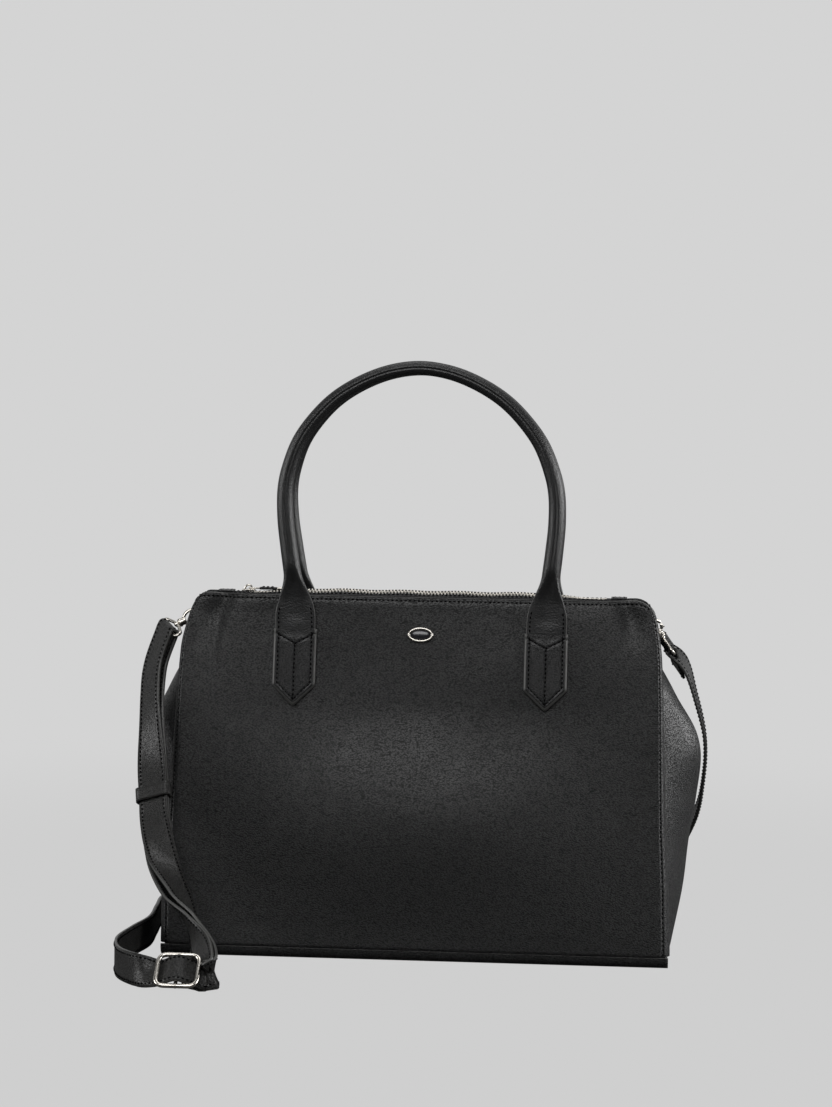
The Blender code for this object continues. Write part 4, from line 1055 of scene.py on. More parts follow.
class BAG_OT_fittings(bpy.types.Operator):
    """Bend the side rings, swivel hooks and eyes, and fold the chapes that hold the rings"""
    bl_idname = "bag.fittings"
    bl_label = "Side rings and hooks"

    def execute(self, context):
        for label in ("left", "right"):
            fitting = SideFitting(label)
            self.chape(fitting)
            sides = sizes().wire_sides
            bm = bmesh.new()
            wire(bm, fitting.ring_line(), RING_WIRE, sides, cyclic=True)
            metal(f"{label}_d_ring", bm, f"{label}_ring")
            self.hook(fitting, sides)
            self.eye(fitting, sides)
        return {"FINISHED"}

    @staticmethod
    def chape(fitting):
        """The leather tab folded over the ring's bar, sewn down through both layers."""
        body = SewnBody()
        layer = CHAPE_THICKNESS / 2
        round_bar = RING_WIRE + GAP + layer / 2
        points = []
        bar = mirrored(fitting.bar, fitting.side)
        for step in range(13):
            height = RING_HEIGHT - CHAPE_LENGTH * (1 - step / 12)
            seat = body.gusset(0, height, fitting.side > 0, GUSSET_LEATHER / 2 + GAP * 2 + layer / 2)
            rise = ease(0.45, 1, step / 12)
            points.append(Vector((seat.x + (bar.x - round_bar - seat.x) * rise, 0, height)))
        for step in range(1, 12):
            turn = math.radians(180) - math.radians(250) * step / 12
            points.append(bar + Vector((math.cos(turn), 0, math.sin(turn))) * round_bar)
        for point in reversed(points[:10]):
            points.append(point + Vector((layer + GAP * 0.5, 0, 0)))
        lengths = [0]
        for low, high in zip(points, points[1:]):
            lengths.append(lengths[-1] + (high - low).length)

        def place(u, v):
            span, share = span_at(lengths, v * lengths[-1])
            point = points[span].lerp(points[span + 1], min(share, 1))
            return mirrored(Vector((point.x, (u - 0.5) * CHAPE_WIDTH, point.z)), fitting.side)

        node = f"{fitting.label}_chape"
        thick_sheet(f"{node}_leather", 8, 90, place, layer * 0.96, "tab", node, even=False)

        def thread_at(point, y, rise=0.0):
            at = Vector((point.x + layer / 2, y * CHAPE_WIDTH, point.z + rise))
            return mirrored(at, fitting.side), Vector((fitting.side, 0, 0))

        rows = [[thread_at(point, y) for point in points[-10:]] for y in (-0.38, 0.38)]
        rows.append([thread_at(points[-1], y, 0.0015) for y in (-0.38, 0.38)])
        stitch_runs(f"{node}_stitches", rows, node)

    @staticmethod
    def hook(fitting, sides):
        """The claw and its collar, and the sprung gate."""
        bm = bmesh.new()
        steps = 48
        bend = [fitting.claw(HOOK_LATCH + (math.tau - HOOK_LATCH) * step / steps) for step in range(steps + 1)]
        wire(bm, bend, HOOK_WIRE, sides)
        base, along = fitting.base, fitting.along
        for low, high, radius, bevel in ((-HOOK_WIRE, COLLAR_LENGTH, COLLAR_RADIUS * 0.86, 0.0004),
                                         (COLLAR_LENGTH * 0.55, COLLAR_LENGTH * 0.86, COLLAR_RADIUS, 0.0003),
                                         (-HOOK_WIRE * 0.8, COLLAR_LENGTH * 0.12, COLLAR_RADIUS, 0.0003)):
            rod(bm, base + along * low, base + along * high, radius, 28, bevel)
        label = fitting.label
        metal(f"{label}_snap_hook", bm, f"{label}_hook")
        bm = bmesh.new()
        hinge, tip = fitting.claw(HOOK_OPEN), fitting.claw(HOOK_LATCH - GATE_GAP)
        rod(bm, hinge, tip, GATE_RADIUS, 18, 0.0003)
        knob = hinge.lerp(tip, 0.35)
        outward = (fitting.claw((HOOK_OPEN + HOOK_LATCH) / 2) - fitting.centre).normalized()
        rod(bm, knob, knob + outward * 0.0022, GATE_RADIUS * 0.6, 14, 0.0002)
        metal(f"{label}_hook_gate", bm, f"{label}_gate")

    @staticmethod
    def eye(fitting, sides):
        """The strap's eye and the pin that swivels in the hook's collar."""
        bm = bmesh.new()
        wire(bm, fitting.eye_line(), EYE_WIRE, sides, cyclic=True)
        rod(bm, fitting.base + fitting.along * COLLAR_LENGTH / 2, fitting.top, SWIVEL_PIN, 18)
        bmesh.ops.create_uvsphere(bm, u_segments=18, v_segments=10, radius=EYE_WIRE * 1.7,
                                  matrix=Matrix.Translation(fitting.top))
        metal(f"{fitting.label}_swivel_eye", bm, f"{fitting.label}_eye")


# Shoulder strap: its places are shares of half the base's width, which passes into the eye's own
# reach with height, of half its depth, and of the eye's height above the strap's rest on the floor.
# Each has the direction that the strip's width takes there.
HANG_SHARES = (
    ((-1.046, -0.19, 0.885), (0.53, -0.8, -0.28)),
    ((-1.053, -0.34, 0.788), (0.6, -0.77, -0.2)),
    ((-1.047, -0.5, 0.680), (0.74, -0.66, -0.12)),
    ((-1.036, -0.67, 0.562), (0.9, -0.4, -0.1)),
    ((-1.021, -0.84, 0.475), (0.9, -0.4, -0.1)),
    ((-1.006, -1.01, 0.389), (0.9, -0.4, -0.1)),
    ((-0.956, -1.34, 0.274), (0.86, -0.25, -0.42)),
    ((-0.875, -1.73, 0.177), (0.72, -0.25, -0.65)),
    ((-0.797, -2.08, 0.106), (0.4, -0.5, -0.77)),
    ((-0.742, -2.38, 0.050), (0.1, -0.62, -0.78)),
    ((-0.698, -2.66, 0.004), (0, -0.3, -0.95)),
)
BUCKLE_SHARE = (-0.822, -2.69)
FLOOR_SHARES = (
    ((-0.992, -2.56, 0.000), (0, -0.2, -0.98)),
    ((-1.078, -2.22, 0.000), (0, 0, -1)),
    ((-1.116, -1.72, 0.000), (0, 0, -1)),
    ((-1.096, -1.12, 0.000), (0, 0, -1)),
    ((-1.066, -0.55, 0.000), (0, 0, -1)),
    ((-1.080, 0.1, 0.000), (0, 0, -1)),
    ((-1.090, 0.7, 0.000), (0, 0, -1)),
    ((-1.030, 1.15, 0.000), (0, 0, -1)),
    ((-0.870, 1.28, 0.000), (0, 0, -1)),
    ((-0.550, 1.22, 0.000), (0, 0, -1)),
    ((-0.150, 1.16, 0.000), (0, 0, -1)),
    ((0.250, 1.18, 0.000), (0, 0, -1)),
)
RISE_SHARES = (
    ((0.600, 1.25, 0.018), (0, -0.25, -0.95)),
    ((0.851, 1.28, 0.096), (-0.05, -0.5, -0.85)),
    ((1.023, 1.18, 0.224), (-0.05, -0.75, -0.65)),
    ((1.126, 0.93, 0.375), (-0.05, -0.9, -0.42)),
    ((1.158, 0.62, 0.526), (-0.05, -0.95, -0.3)),
    ((1.160, 0.42, 0.671), (0, -0.95, -0.25)),
    ((1.122, 0.31, 0.811), (0, -0.92, -0.35)),
    ((1.073, 0.25, 0.932), (0.02, -0.84, -0.53)),
)
SHORT_DIRECTION = Vector((0.42, 0, -0.90))
SPREAD_SHARES = (1.0, 0.8, 0.5, 0.15, 0.0, 0.0, 0.0, 0.6, 1.0, 0.6, 0.1, 0.1)
SHORT_END, FOLD_GAP = 0.030, 0.0007
BUCKLE_LENGTH, BUCKLE_HEIGHT, BUCKLE_WIRE, BUCKLE_BAR = 0.031, 0.0296, 0.0016, 0.0013
BUCKLE_LEAN = math.radians(50)
KEEPER_LENGTH, KEEPER_THICKNESS, KEEPER_CLEARANCE = 0.010, 0.0016, 0.0010


class StrapPath:
    """The strap's middle line from its sewn end at the buckle to its short end at the right hook."""

    def __init__(self):
        own = sizes()
        self.half, self.thick = own.strap_width / 2, own.strap_thickness
        self.scale = Vector((own.base_width / 2, own.base_depth / 2, own.body_height))
        self.fold = EYE_WIRE + FOLD_GAP + self.thick / 2
        self.pair = self.thick / 2 + GAP
        left, right = SideFitting("left"), SideFitting("right")
        under = -(BUCKLE_WIRE + GAP * 4 + self.thick / 2)
        under_pair = under - self.pair * 2
        over = BUCKLE_BAR + GAP * 2 + self.thick / 2
        self.frame_half = Vector((BUCKLE_LENGTH / 2 - BUCKLE_WIRE, BUCKLE_HEIGHT / 2 - BUCKLE_WIRE, 0))
        self.up = Vector((0, math.sin(BUCKLE_LEAN), math.cos(BUCKLE_LEAN)))
        self.along = Vector((-1, 0, 0))
        self.out = Vector((0, -math.cos(BUCKLE_LEAN), math.sin(BUCKLE_LEAN)))
        rest = self.half * self.up.z + (self.thick - under_pair) * self.out.z
        self.buckle = Vector((BUCKLE_SHARE[0] * self.scale.x, BUCKLE_SHARE[1] * self.scale.y, rest))
        half = self.frame_half.x
        near, far = self.double_run(left.eye, left.bar_along)
        near += [self.at_buckle(-half, under_pair), self.at_buckle(-half / 4, -over - GAP)]
        far += [self.at_buckle(-half, under), self.at_buckle(0, over), self.at_buckle(half, under)]
        over_left = square_frame(left.bar_along, left.eye - self.route(HANG_SHARES[0][0], left.eye))[1]
        start_left = (near[0][0] - left.eye).normalized()
        rise = self.rows(FLOOR_SHARES, left.eye) + self.rows(RISE_SHARES, right.eye)
        bar, over_right, out_right = square_frame(right.bar_along, right.eye - rise[-1][0])
        short = right.eye - out_right * self.fold
        points = self.smooth(list(reversed(near)))
        points += self.turn(left.eye, left.bar_along, start_left, over_left)
        points += self.smooth(far + rise + [(right.eye + out_right * self.fold, bar)])
        points += self.turn(right.eye, bar, out_right, over_right)
        down = square_frame(bar, SHORT_DIRECTION)[1]
        points += self.smooth([(short, bar), (short + down * SHORT_END, bar)])
        self.points = points
        before, self.keeper, after = [self.route(row[0], left.eye) for row in HANG_SHARES[3:6]]
        self.keeper_axis, self.keeper_wide, self.keeper_out = square_frame(after - before, Vector(HANG_SHARES[4][1]))

    def route(self, shares, eye):
        """A point of the strap's route, from shares of the way to an eye."""
        wide = self.scale.x + (abs(eye.x) - self.scale.x) * shares[2]
        rest = self.half + GAP * 2
        return Vector((shares[0] * wide, shares[1] * self.scale.y, rest + (eye.z - rest) * shares[2]))

    def rows(self, shares, eye):
        """Points and directions of a run, from its table of shares."""
        return [(self.route(row[0], eye), Vector(row[1]).normalized()) for row in shares]

    def at_buckle(self, along, out):
        """A point by the buckle's middle, and the strip's direction there."""
        return self.buckle + self.along * along + self.out * out, -self.up

    def double_run(self, centre, bar):
        """Two runs of the strip to either side of a route that starts at an eye's bar."""
        route = [(centre, bar)] + self.rows(HANG_SHARES, centre)
        runs = ([], [])
        for index, (place, wide) in enumerate(route):
            low, high = route[max(index - 1, 0)][0], route[min(index + 1, len(route) - 1)][0]
            wide, tangent, out = square_frame(wide, high - low)
            offset = self.pair + (self.fold - self.pair) * SPREAD_SHARES[index]
            for run, side in zip(runs, (1, -1)):
                run.append((place + out * (side * offset), wide))
        return runs

    def smooth(self, route):
        """Points close together on a smooth line through a route's own points."""
        knots = list(range(len(route)))
        made = []
        for span in knots[:-1]:
            steps = max(4, round((route[span + 1][0] - route[span][0]).length / 0.0028))
            made += [self.between(route, knots, span + step / steps) for step in range(steps)]
        made.append(self.between(route, knots, knots[-1]))
        return made

    @staticmethod
    def between(route, knots, at):
        """The smooth line's point and direction at a place among its knots."""
        place, wide = [Vector([smooth_value(knots, [row[part][axis] for row in route], at) for axis in range(3)])
                       for part in (0, 1)]
        return place, wide.normalized()

    def turn(self, centre, wide, start, over):
        """A half turn of the strip round a bar."""
        turns = [math.pi * step / 18 for step in range(1, 18)]
        return [(centre + (start * math.cos(turn) + over * math.sin(turn)) * self.fold, wide) for turn in turns]

    def frames(self):
        """Middle, width direction and face direction at every point."""
        made = []
        for index, (place, wide) in enumerate(self.points):
            low = self.points[max(index - 1, 0)][0]
            high = self.points[min(index + 1, len(self.points) - 1)][0]
            tangent, wide, out = square_frame(high - low, wide)
            made.append((place, wide, out))
        return made


class BAG_OT_strap(bpy.types.Operator):
    """Run the shoulder strap from the left hook through its buckle, round the floor and up to the right hook"""
    bl_idname = "bag.strap"
    bl_label = "Shoulder strap"

    def execute(self, context):
        path = StrapPath()
        rows = path.frames()
        last = len(rows) - 1

        def place(u, v):
            middle, wide, out = rows[round(v * last)]
            return middle + wide * ((u - 0.5) * 2 * path.half * 0.985)

        thick_sheet("shoulder_strap_leather", 6, last, place, path.thick * 0.94, "strap", "shoulder_strap", even=False)
        inset = path.half - 0.0024
        lines = [[(middle + wide * (side * inset) + out * (face * path.thick * 0.47), out * face)
                  for middle, wide, out in rows] for side in (-1, 1) for face in (-1, 1)]
        stitch_runs("shoulder_strap_stitches", lines, "shoulder_strap")
        self.keeper(path)
        self.buckle(path)
        return {"FINISHED"}

    @staticmethod
    def keeper(path):
        """The leather loop that slides on both runs of the strap."""
        wall = KEEPER_THICKNESS
        wide = path.half + KEEPER_CLEARANCE + wall / 2
        deep = path.pair + path.thick / 2 + KEEPER_CLEARANCE + wall / 2
        corners = [Vector((x * wide, y * deep, 0)) for x, y in ((-1, -1), (1, -1), (1, 1), (-1, 1))]
        fine = cut_up(round_corners(corners, share=0.45, steps=8), lambda side: 3)
        turn = Matrix((path.keeper_wide, path.keeper_out, path.keeper_axis)).transposed()
        steps = len(fine)

        def place(u, v):
            point = fine[round(u * steps) % steps] + Vector((0, 0, (v - 0.5) * KEEPER_LENGTH))
            return path.keeper + turn @ point

        thick_sheet("strap_keeper", steps, 6, place, wall * 0.95, "strap", "keeper", even=False, closed=True)
        rows = [[(path.keeper + turn @ Vector((wide * x, -deep - wall / 2, (y - 0.5) * KEEPER_LENGTH * 0.8)),
                  turn @ Vector((0, -1, 0))) for y in (0, 1)] for x in (0.72, -0.72)]
        stitch_runs("strap_keeper_stitches", rows, "keeper")

    @staticmethod
    def buckle(path):
        """A polished frame with a bar across its middle."""
        x, y = path.frame_half.x, path.frame_half.y
        corners = [path.buckle + path.along * (a * x) + path.up * (b * y)
                   for a, b in ((1, 1), (-1, 1), (-1, -1), (1, -1))]
        fine = cut_up(round_corners(corners, share=0.24, steps=8), lambda side: max(1, round(side / 0.002)))
        bm = bmesh.new()
        wire(bm, fine, BUCKLE_WIRE, sizes().wire_sides, cyclic=True)
        rod(bm, path.buckle - path.up * y, path.buckle + path.up * y, BUCKLE_BAR, 20)
        for end in (-1, 1):
            bmesh.ops.create_uvsphere(bm, u_segments=18, v_segments=10, radius=BUCKLE_WIRE * 1.12,
                                      matrix=Matrix.Translation(path.buckle + path.up * (y * end)))
        metal("strap_buckle", bm, "buckle")


# Zip, as the frame has it
ZIP_LEFT, ZIP_RIGHT, CHAIN_RIGHT, ZIP_DROP = -0.150, 0.147, 0.134, 0.0005
CHAIN_WIDTH, TAPE_REACH, TAPE_THICKNESS = 0.0054, 0.0112, 0.0006
SLIDER_PLACE, SLIDER_LENGTH, SLIDER_WIDTH, SLIDER_PLATE = -0.123, 0.0095, 0.0084, 0.0010
CHAIN_THICKNESS, POST_SIZE = 0.0022, 0.0016
BRIDGE_RISE, BRIDGE_LENGTH, BRIDGE_WIRE = 0.0036, 0.0056, 0.0014
LINK_LENGTH, LINK_WIDTH, LINK_THICKNESS, LINK_BAR = 0.0080, 0.0052, 0.0010, 0.0012
TAG_LENGTH, TAG_WIDTH, TAG_THICKNESS, TIP_LENGTH = 0.0125, 0.0058, 0.0018, 0.0058
END_LENGTH, END_WIDTH, END_THICKNESS = 0.0115, 0.016, 0.0012
# The back tape stands up behind the chain: how far, where across and how wide
BACK_ROLL = (0.0022, 0.0045, 0.003)
TEETH_RISE, TAPE_ROWS = 0.0007, (0.0066, 0.0082)


class ZipLine:
    """The closed zip's own line: it snakes a little between the handles."""

    def __init__(self):
        own = sizes()
        self.height = own.body_height - ZIP_DROP
        self.wave = own.zip_wave
        self.pitch = own.zip_pitch
        self.post = SLIDER_PLACE - SLIDER_LENGTH / 2

    def calm(self, x):
        """0 where the zip lies flat at its ends, 1 where it is free to snake."""
        return ease(SLIDER_PLACE, SLIDER_PLACE + 0.03, x) * ease(0.013, 0.045, CHAIN_RIGHT - x)

    def lift(self, x):
        """How far the closed zip rises."""
        return self.wave * (0.35 * math.sin((x - 0.016) / 0.042 * math.tau) + 1.0) * self.calm(x)

    def sway(self, x):
        """How far the closed zip snakes to a side."""
        return self.wave * 0.6 * math.sin((x + 0.010) / 0.059 * math.tau) * self.calm(x)

    def at(self, x, y, z=0.0):
        """A place of the flat zip, taken onto its soft wave."""
        share = max(1 - max(abs(y) - CHAIN_WIDTH / 2, 0) / (TAPE_REACH - CHAIN_WIDTH / 2), 0)
        high, middle, wide = BACK_ROLL
        turned = high * bell(y, middle, wide) * self.calm(x)
        return Vector((x, y + self.sway(x) * share, self.height + z + self.lift(x) * share + turned))


class BAG_OT_zip(bpy.types.Operator):
    """Weave the zip's tapes, set its teeth and end tabs, and hang the slider's pull"""
    bl_idname = "bag.zip"
    bl_label = "Zip"

    def execute(self, context):
        line = ZipLine()
        for face, label in ((-1, "front"), (1, "back")):
            self.tape(line, face, label)
            self.teeth(line, face, label)
        self.ends(line)
        self.slider(line)
        self.pull(line)
        return {"FINISHED"}

    @staticmethod
    def tape(line, face, label):
        """One side's tape, woven with two ridges and sewn down along two rows."""
        near, far = CHAIN_WIDTH / 2 - 0.0012, TAPE_REACH

        def place(u, v):
            y = near + (far - near) * v
            ridge = 0.00022 * (bell(v, 0.28, 0.04) + bell(v, 0.62, 0.03))
            return line.at(ZIP_LEFT + (ZIP_RIGHT - ZIP_LEFT) * u, face * y, ridge)

        node = f"zip_tape_{label}"
        thick_sheet(f"{node}_cloth", 300, 14, place, TAPE_THICKNESS, "tape", node, edge="tape")
        steps, margin = 100, 0.012
        spots = [ZIP_LEFT + margin + (ZIP_RIGHT - ZIP_LEFT - margin * 2) * step / steps for step in range(steps + 1)]
        rows = [[(line.at(x, face * y, TAPE_THICKNESS / 2), UP) for x in spots] for y in TAPE_ROWS]
        stitch_runs(f"{node}_stitches", rows, node)

    @staticmethod
    def teeth(line, face, label):
        """One row of teeth: a clamp over the tape's bead and a nose that meshes with the other row."""
        tooth = bmesh.new()
        block(tooth, (-0.00052, -0.0012, -0.00105), (0.00052, 0.0012, 0.00105), 0.00022, 2)
        nose = face * -0.00175
        block(tooth, (-0.00044, nose - 0.0008, -0.0007), (0.00044, nose + 0.0008, 0.0007), 0.0002, 1)
        low = line.post + POST_SIZE
        count = int((CHAIN_RIGHT - low) / line.pitch)
        share = 0.25 if face < 0 else 0.75
        spots = [low + line.pitch * (step + share) for step in range(count)]
        places = [Matrix.Translation(line.at(x, face * 0.0016, TEETH_RISE * line.calm(x))) for x in spots]
        piece(f"zip_row_{label}", repeated(tooth, places), ["teeth"], f"zip_teeth_{label}")

    @staticmethod
    def ends(line):
        """The leather tabs across the zip's two ends, each with a rectangle of stitches."""
        for start, label in ((ZIP_LEFT, "left"), (CHAIN_RIGHT + line.pitch, "right")):
            bm = bmesh.new()
            low = line.height + TAPE_THICKNESS / 2 + GAP
            bar(bm, start, start + END_LENGTH, END_WIDTH, low, low + END_THICKNESS, 0.0004)
            node = f"zip_end_{label}"
            piece(f"{node}_leather", bm, ["tab"], node)
            inset, top = 0.0018, low + END_THICKNESS - 0.0004
            left, right, side = start + inset, start + END_LENGTH - inset, END_WIDTH / 2 - inset
            row = [(Vector((x, y, top)), UP)
                   for x, y in ((left, -side), (right, -side), (right, side), (left, side), (left, -side))]
            stitch_runs(f"{node}_stitches", [row], node)

    @staticmethod
    def slider(line):
        """Two plates joined by a post, with a bridge over the top for the pull."""
        bm = bmesh.new()
        gap = CHAIN_THICKNESS / 2 + GAP
        for low in (line.height - gap - SLIDER_PLATE, line.height + gap):
            edges = cube(bm, (SLIDER_PLACE - SLIDER_LENGTH, -SLIDER_WIDTH / 2, low),
                         (SLIDER_PLACE, SLIDER_WIDTH / 2, low + SLIDER_PLATE))
            upright = [edge for edge in edges if abs(edge.verts[0].co.z - edge.verts[1].co.z) > SLIDER_PLATE / 2]
            soften(bm, upright, 0.0022, 4)
        rims = [edge for edge in bm.edges if len(edge.link_faces) == 2 and edge.calc_face_angle() > 1.2]
        soften(bm, rims, 0.00022, 2)
        top, reach = line.height + gap + SLIDER_PLATE, gap + SLIDER_PLATE / 2
        bar(bm, line.post - POST_SIZE, line.post + POST_SIZE / 2, POST_SIZE, line.height - reach, line.height + reach,
            0.0003)
        turns = [math.pi * step / 16 for step in range(17)]
        arch = [Vector((line.post - math.cos(turn) * BRIDGE_LENGTH / 2, 0,
                        top - SLIDER_PLATE / 2 + math.sin(turn) * BRIDGE_RISE)) for turn in turns]
        wire(bm, arch, BRIDGE_WIRE / 2)
        metal("zip_slider_body", bm, "zip_slider")

    @staticmethod
    def pull(line):
        """A wire link, a stitched leather tag and a metal tip."""
        top = line.height + CHAIN_THICKNESS / 2 + GAP * 2 + SLIDER_PLATE
        start = line.post + BRIDGE_LENGTH / 2 - BRIDGE_WIRE - GAP - LINK_BAR
        middle = top + LINK_THICKNESS / 2
        half = LINK_WIDTH / 2 - LINK_BAR / 2
        link_end = start + LINK_LENGTH
        low, high = start + LINK_BAR / 2, link_end - LINK_BAR
        corners = [Vector((x, y, middle)) for x, y in ((low, -half), (high, -half), (high, half), (low, half))]
        bm = bmesh.new()
        wire(bm, round_corners(corners, share=0.3), LINK_BAR * 0.42, cyclic=True)
        bar(bm, link_end - LINK_BAR * 2, link_end, LINK_WIDTH, top, top + LINK_THICKNESS, 0.0002)
        metal("zip_pull_link", bm, "pull_link")

        def slab(start, length, bevel):
            bm = bmesh.new()
            bar(bm, start, start + length, TAG_WIDTH, middle - TAG_THICKNESS / 2, middle + TAG_THICKNESS / 2, bevel)
            return bm

        tag = link_end + GAP
        piece("zip_pull_tag", slab(tag, TAG_LENGTH, 0.0005), ["tab"], "pull_tag")
        rows = [[(Vector((x, y * TAG_WIDTH, middle + TAG_THICKNESS / 2)), UP)
                 for x in (tag + 0.001, tag + TAG_LENGTH - 0.0005)] for y in (-0.33, 0.33)]
        stitch_runs("zip_pull_stitches", rows, "pull_tag")
        tip = tag + TAG_LENGTH + GAP
        bm = slab(tip, TIP_LENGTH, 0.0006)
        rivet = Vector((tip + TIP_LENGTH * 0.5, 0, middle + TAG_THICKNESS * 0.3))
        rod(bm, rivet, rivet + Vector((0, 0, TAG_THICKNESS * 0.2 + 0.0003)), 0.0008, 16, 0.0002)
        metal("zip_pull_tip", bm, "pull_tip")


class BAG_OT_facings(bpy.types.Operator):
    """Fold the facings inside the top edge"""
    bl_idname = "bag.facings"
    bl_label = "Facings"

    def execute(self, context):
        body = SewnBody()
        low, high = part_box("front_facing")
        half = (high.x - low.x) / 2
        tall = high.z - low.z

        def place(u, v):
            x = (2 * u - 1) * half
            turned = body.corner(x), body.corner(-x)
            height = low.z + (tall - max(turned)) * v
            sway = 0.0003 * body.wander(x, height, SEEDS["facing"])
            pinch = max(body.pinch(x, height), body.pinch(-x, height))
            y = body.half_depth(height) - body.leather - GAP - 0.0006 - abs(sway) - pinch
            return Vector((x, -y, height))

        for side in ("front", "back"):
            turned = place if side == "front" else (lambda u, v: back(place(u, v)))
            thick_sheet(f"{side}_facing_leather", 120, 14, turned, 0.0012, "panel", f"{side}_facing")
        return {"FINISHED"}


class BAG_OT_stud(bpy.types.Operator):
    """Set the oval stud: a rounded rim and a plain dark plate"""
    bl_idname = "bag.stud"
    bl_label = "Stud"

    def execute(self, context):
        body = SewnBody()
        width, height, rim = 0.0167, 0.0092, 0.0009
        seat = body.face_place(0, 0.028)
        steps = 72
        turns = [math.tau * step / steps for step in range(steps)]
        oval = [seat @ Vector((math.cos(turn) * width / 2, math.sin(turn) * height / 2, GAP + rim)) for turn in turns]
        bm = bmesh.new()
        wire(bm, oval, rim, 16, cyclic=True)
        metal("stud_bezel", bm, "stud_rim")
        bm = bmesh.new()
        inset = rim + GAP / 2
        dome = Matrix.Translation((0, 0, rim)) @ Matrix.Diagonal((width / 2 - inset, height / 2 - inset, 0.0012, 1))
        bmesh.ops.create_uvsphere(bm, u_segments=48, v_segments=24, radius=1, matrix=seat @ dome)
        piece("stud_plate_face", bm, ["enamel"], "stud_plate")
        return {"FINISHED"}


class BAG_OT_finishes(bpy.types.Operator):
    """Give every piece of the frame that stays in sight its finish"""
    bl_idname = "bag.finishes"
    bl_label = "Fittings' finishes"

    def execute(self, context):
        names = {"panel_leather": "panel", "gusset_leather": "gusset", "handle_leather": "tab",
                 "strap_leather": "strap", "lining_cloth": "cloth", "board": "board", "zip_tape": "tape",
                 "zip_metal": "teeth", "nickel": "nickel", "stud_face": "enamel"}
        for node, made in frame["nodes"].items():
            made.data.materials.clear()
            made.data.materials.append(finish_for(names[SLOTS[node]]))
        return {"FINISHED"}


# Name, place, aim, width, height and power of each soft lamp
LAMPS = (
    ("front_lamp", (-0.2, -2.2, 2.0), (0, 0, 0.2), 2.1, 1.5, 43),
    ("left_lamp", (-2.3, -0.6, 0.8), (-0.1, 0, 0.15), 1.4, 1.0, 24),
    ("right_lamp", (2.3, 0.1, 0.8), (0.1, 0, 0.15), 2.2, 0.9, 50),
    ("top_lamp", (0.0, 0.3, 2.2), (0, 0, 0.2), 1.8, 0.7, 12),
)
# The camera's lens, its distance and height, and in degrees where it stands and how it is turned
LENS, CAMERA_DISTANCE, CAMERA_HEIGHT = 94.15, 2.1, 0.40
CAMERA_YAW, CAMERA_HEADING, CAMERA_PITCH, CAMERA_ROLL = (math.radians(turn) for turn in (4.0, 4.157, -3.1, 0.9))
FLOOR_REACH = 14


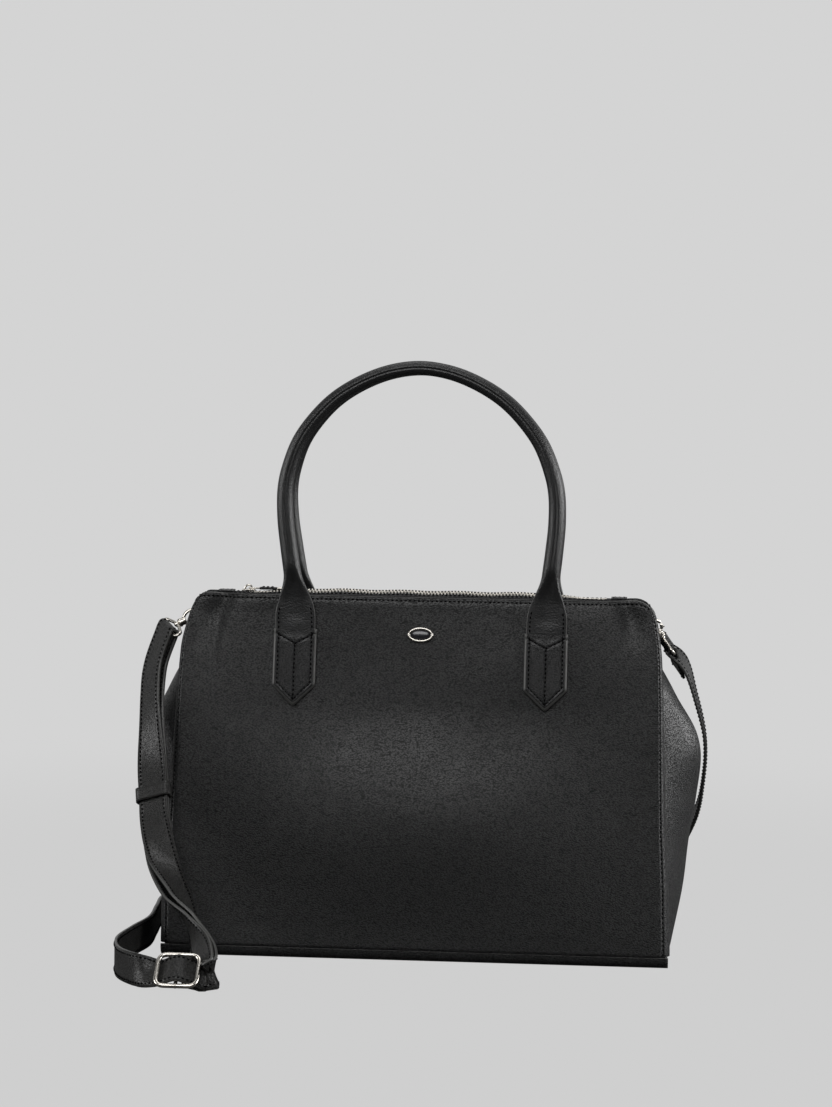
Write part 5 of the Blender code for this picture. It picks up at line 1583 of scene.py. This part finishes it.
class BAG_OT_stage(bpy.types.Operator):
    """Set the pale floor and backdrop, the soft lamps and the camera"""
    bl_idname = "bag.stage"
    bl_label = "Stage"

    def execute(self, context):
        scene = context.scene
        scene.view_settings.view_transform = "Standard"
        self.floor()
        self.sky(scene)
        for name, place, aim, wide, tall, power in LAMPS:
            self.lamp(name, Vector(place), Vector(aim), wide, tall, power)
        self.camera(scene)
        return {"FINISHED"}

    @staticmethod
    def floor():
        """A wide round floor under the bag."""
        bm = bmesh.new()
        bmesh.ops.create_circle(bm, cap_ends=True, segments=96, radius=FLOOR_REACH)
        piece("floor", bm, ["floor"])

    @staticmethod
    def sky(scene):
        """Even light for the camera's own view, and for the object a paler sky towards the back."""
        studio = Finish("studio", "worlds", "Background")
        seen = studio.node("ShaderNodeLightPath", {}, output=0)
        place = studio.node("ShaderNodeTexCoord", {}, output=0)
        depth = studio.node("ShaderNodeSeparateXYZ", {}, place, output=1)
        strength = studio.node("ShaderNodeMapRange", {}, depth, 0.05, 0.7, 0.05, 0.8)
        scene.world = studio.surface(Color=tuple(colours().floor), Strength=strength.sum("MAXIMUM", seen, strength))

    @staticmethod
    def lamp(name, place, aim, wide, tall, power):
        """A soft lamp that looks at a point."""
        light = bpy.data.lights.new(name, "AREA")
        light.shape = "RECTANGLE"
        light.size, light.size_y = wide, tall
        light.energy = power
        made = bpy.data.objects.new(name, light)
        made.location = place
        made.rotation_euler = (aim - place).to_track_quat("-Z", "Y").to_euler()
        bpy.context.scene.collection.objects.link(made)

    @staticmethod
    def camera(scene):
        """The camera, as the photo was taken."""
        lens = bpy.data.cameras.new("camera")
        lens.sensor_fit = "VERTICAL"
        lens.sensor_height = 36
        lens.lens = LENS
        lens.clip_end = 50
        made = bpy.data.objects.new("camera", lens)
        scene.collection.objects.link(made)
        place = Vector((math.sin(CAMERA_YAW), -math.cos(CAMERA_YAW), 0)) * CAMERA_DISTANCE + UP * CAMERA_HEIGHT
        turn = (Matrix.Rotation(CAMERA_HEADING, 4, "Z") @ Matrix.Rotation(math.pi / 2 + CAMERA_PITCH, 4, "X")
                @ Matrix.Rotation(CAMERA_ROLL, 4, "Z"))
        made.matrix_world = Matrix.Translation(place) @ turn
        scene.camera = made


class BAG_PT_panel(bpy.types.Panel):
    """Lists the bag's operators, sizes and colours"""
    bl_idname = "BAG_PT_panel"
    bl_label = "Shopper Bag"
    bl_space_type = "VIEW_3D"
    bl_region_type = "UI"
    bl_category = "Shopper Bag"

    def draw(self, context):
        for operator in OPERATORS:
            self.layout.operator(operator.bl_idname)
        for group in (context.scene.bag_sizes, context.scene.bag_colours):
            column = self.layout.column()
            for name in group.__annotations__:
                column.prop(group, name)


OPERATORS = (BAG_OT_finishes, BAG_OT_panels, BAG_OT_gussets, BAG_OT_base, BAG_OT_facings, BAG_OT_zip, BAG_OT_handles,
             BAG_OT_stud, BAG_OT_fittings, BAG_OT_strap, BAG_OT_stage)
GROUPS = (BagSizes, BagColours)


def register():
    for made in (*GROUPS, *OPERATORS, BAG_PT_panel):
        bpy.utils.register_class(made)
    bpy.types.Scene.bag_sizes = PointerProperty(type=BagSizes)
    bpy.types.Scene.bag_colours = PointerProperty(type=BagColours)


def unregister():
    del bpy.types.Scene.bag_colours
    del bpy.types.Scene.bag_sizes
    for made in reversed((*GROUPS, *OPERATORS, BAG_PT_panel)):
        bpy.utils.unregister_class(made)


def main():
    register()
    for operator in OPERATORS:
        group, name = operator.bl_idname.split(".")
        getattr(getattr(bpy.ops, group), name)()


if __name__ == "__main__":
    main()
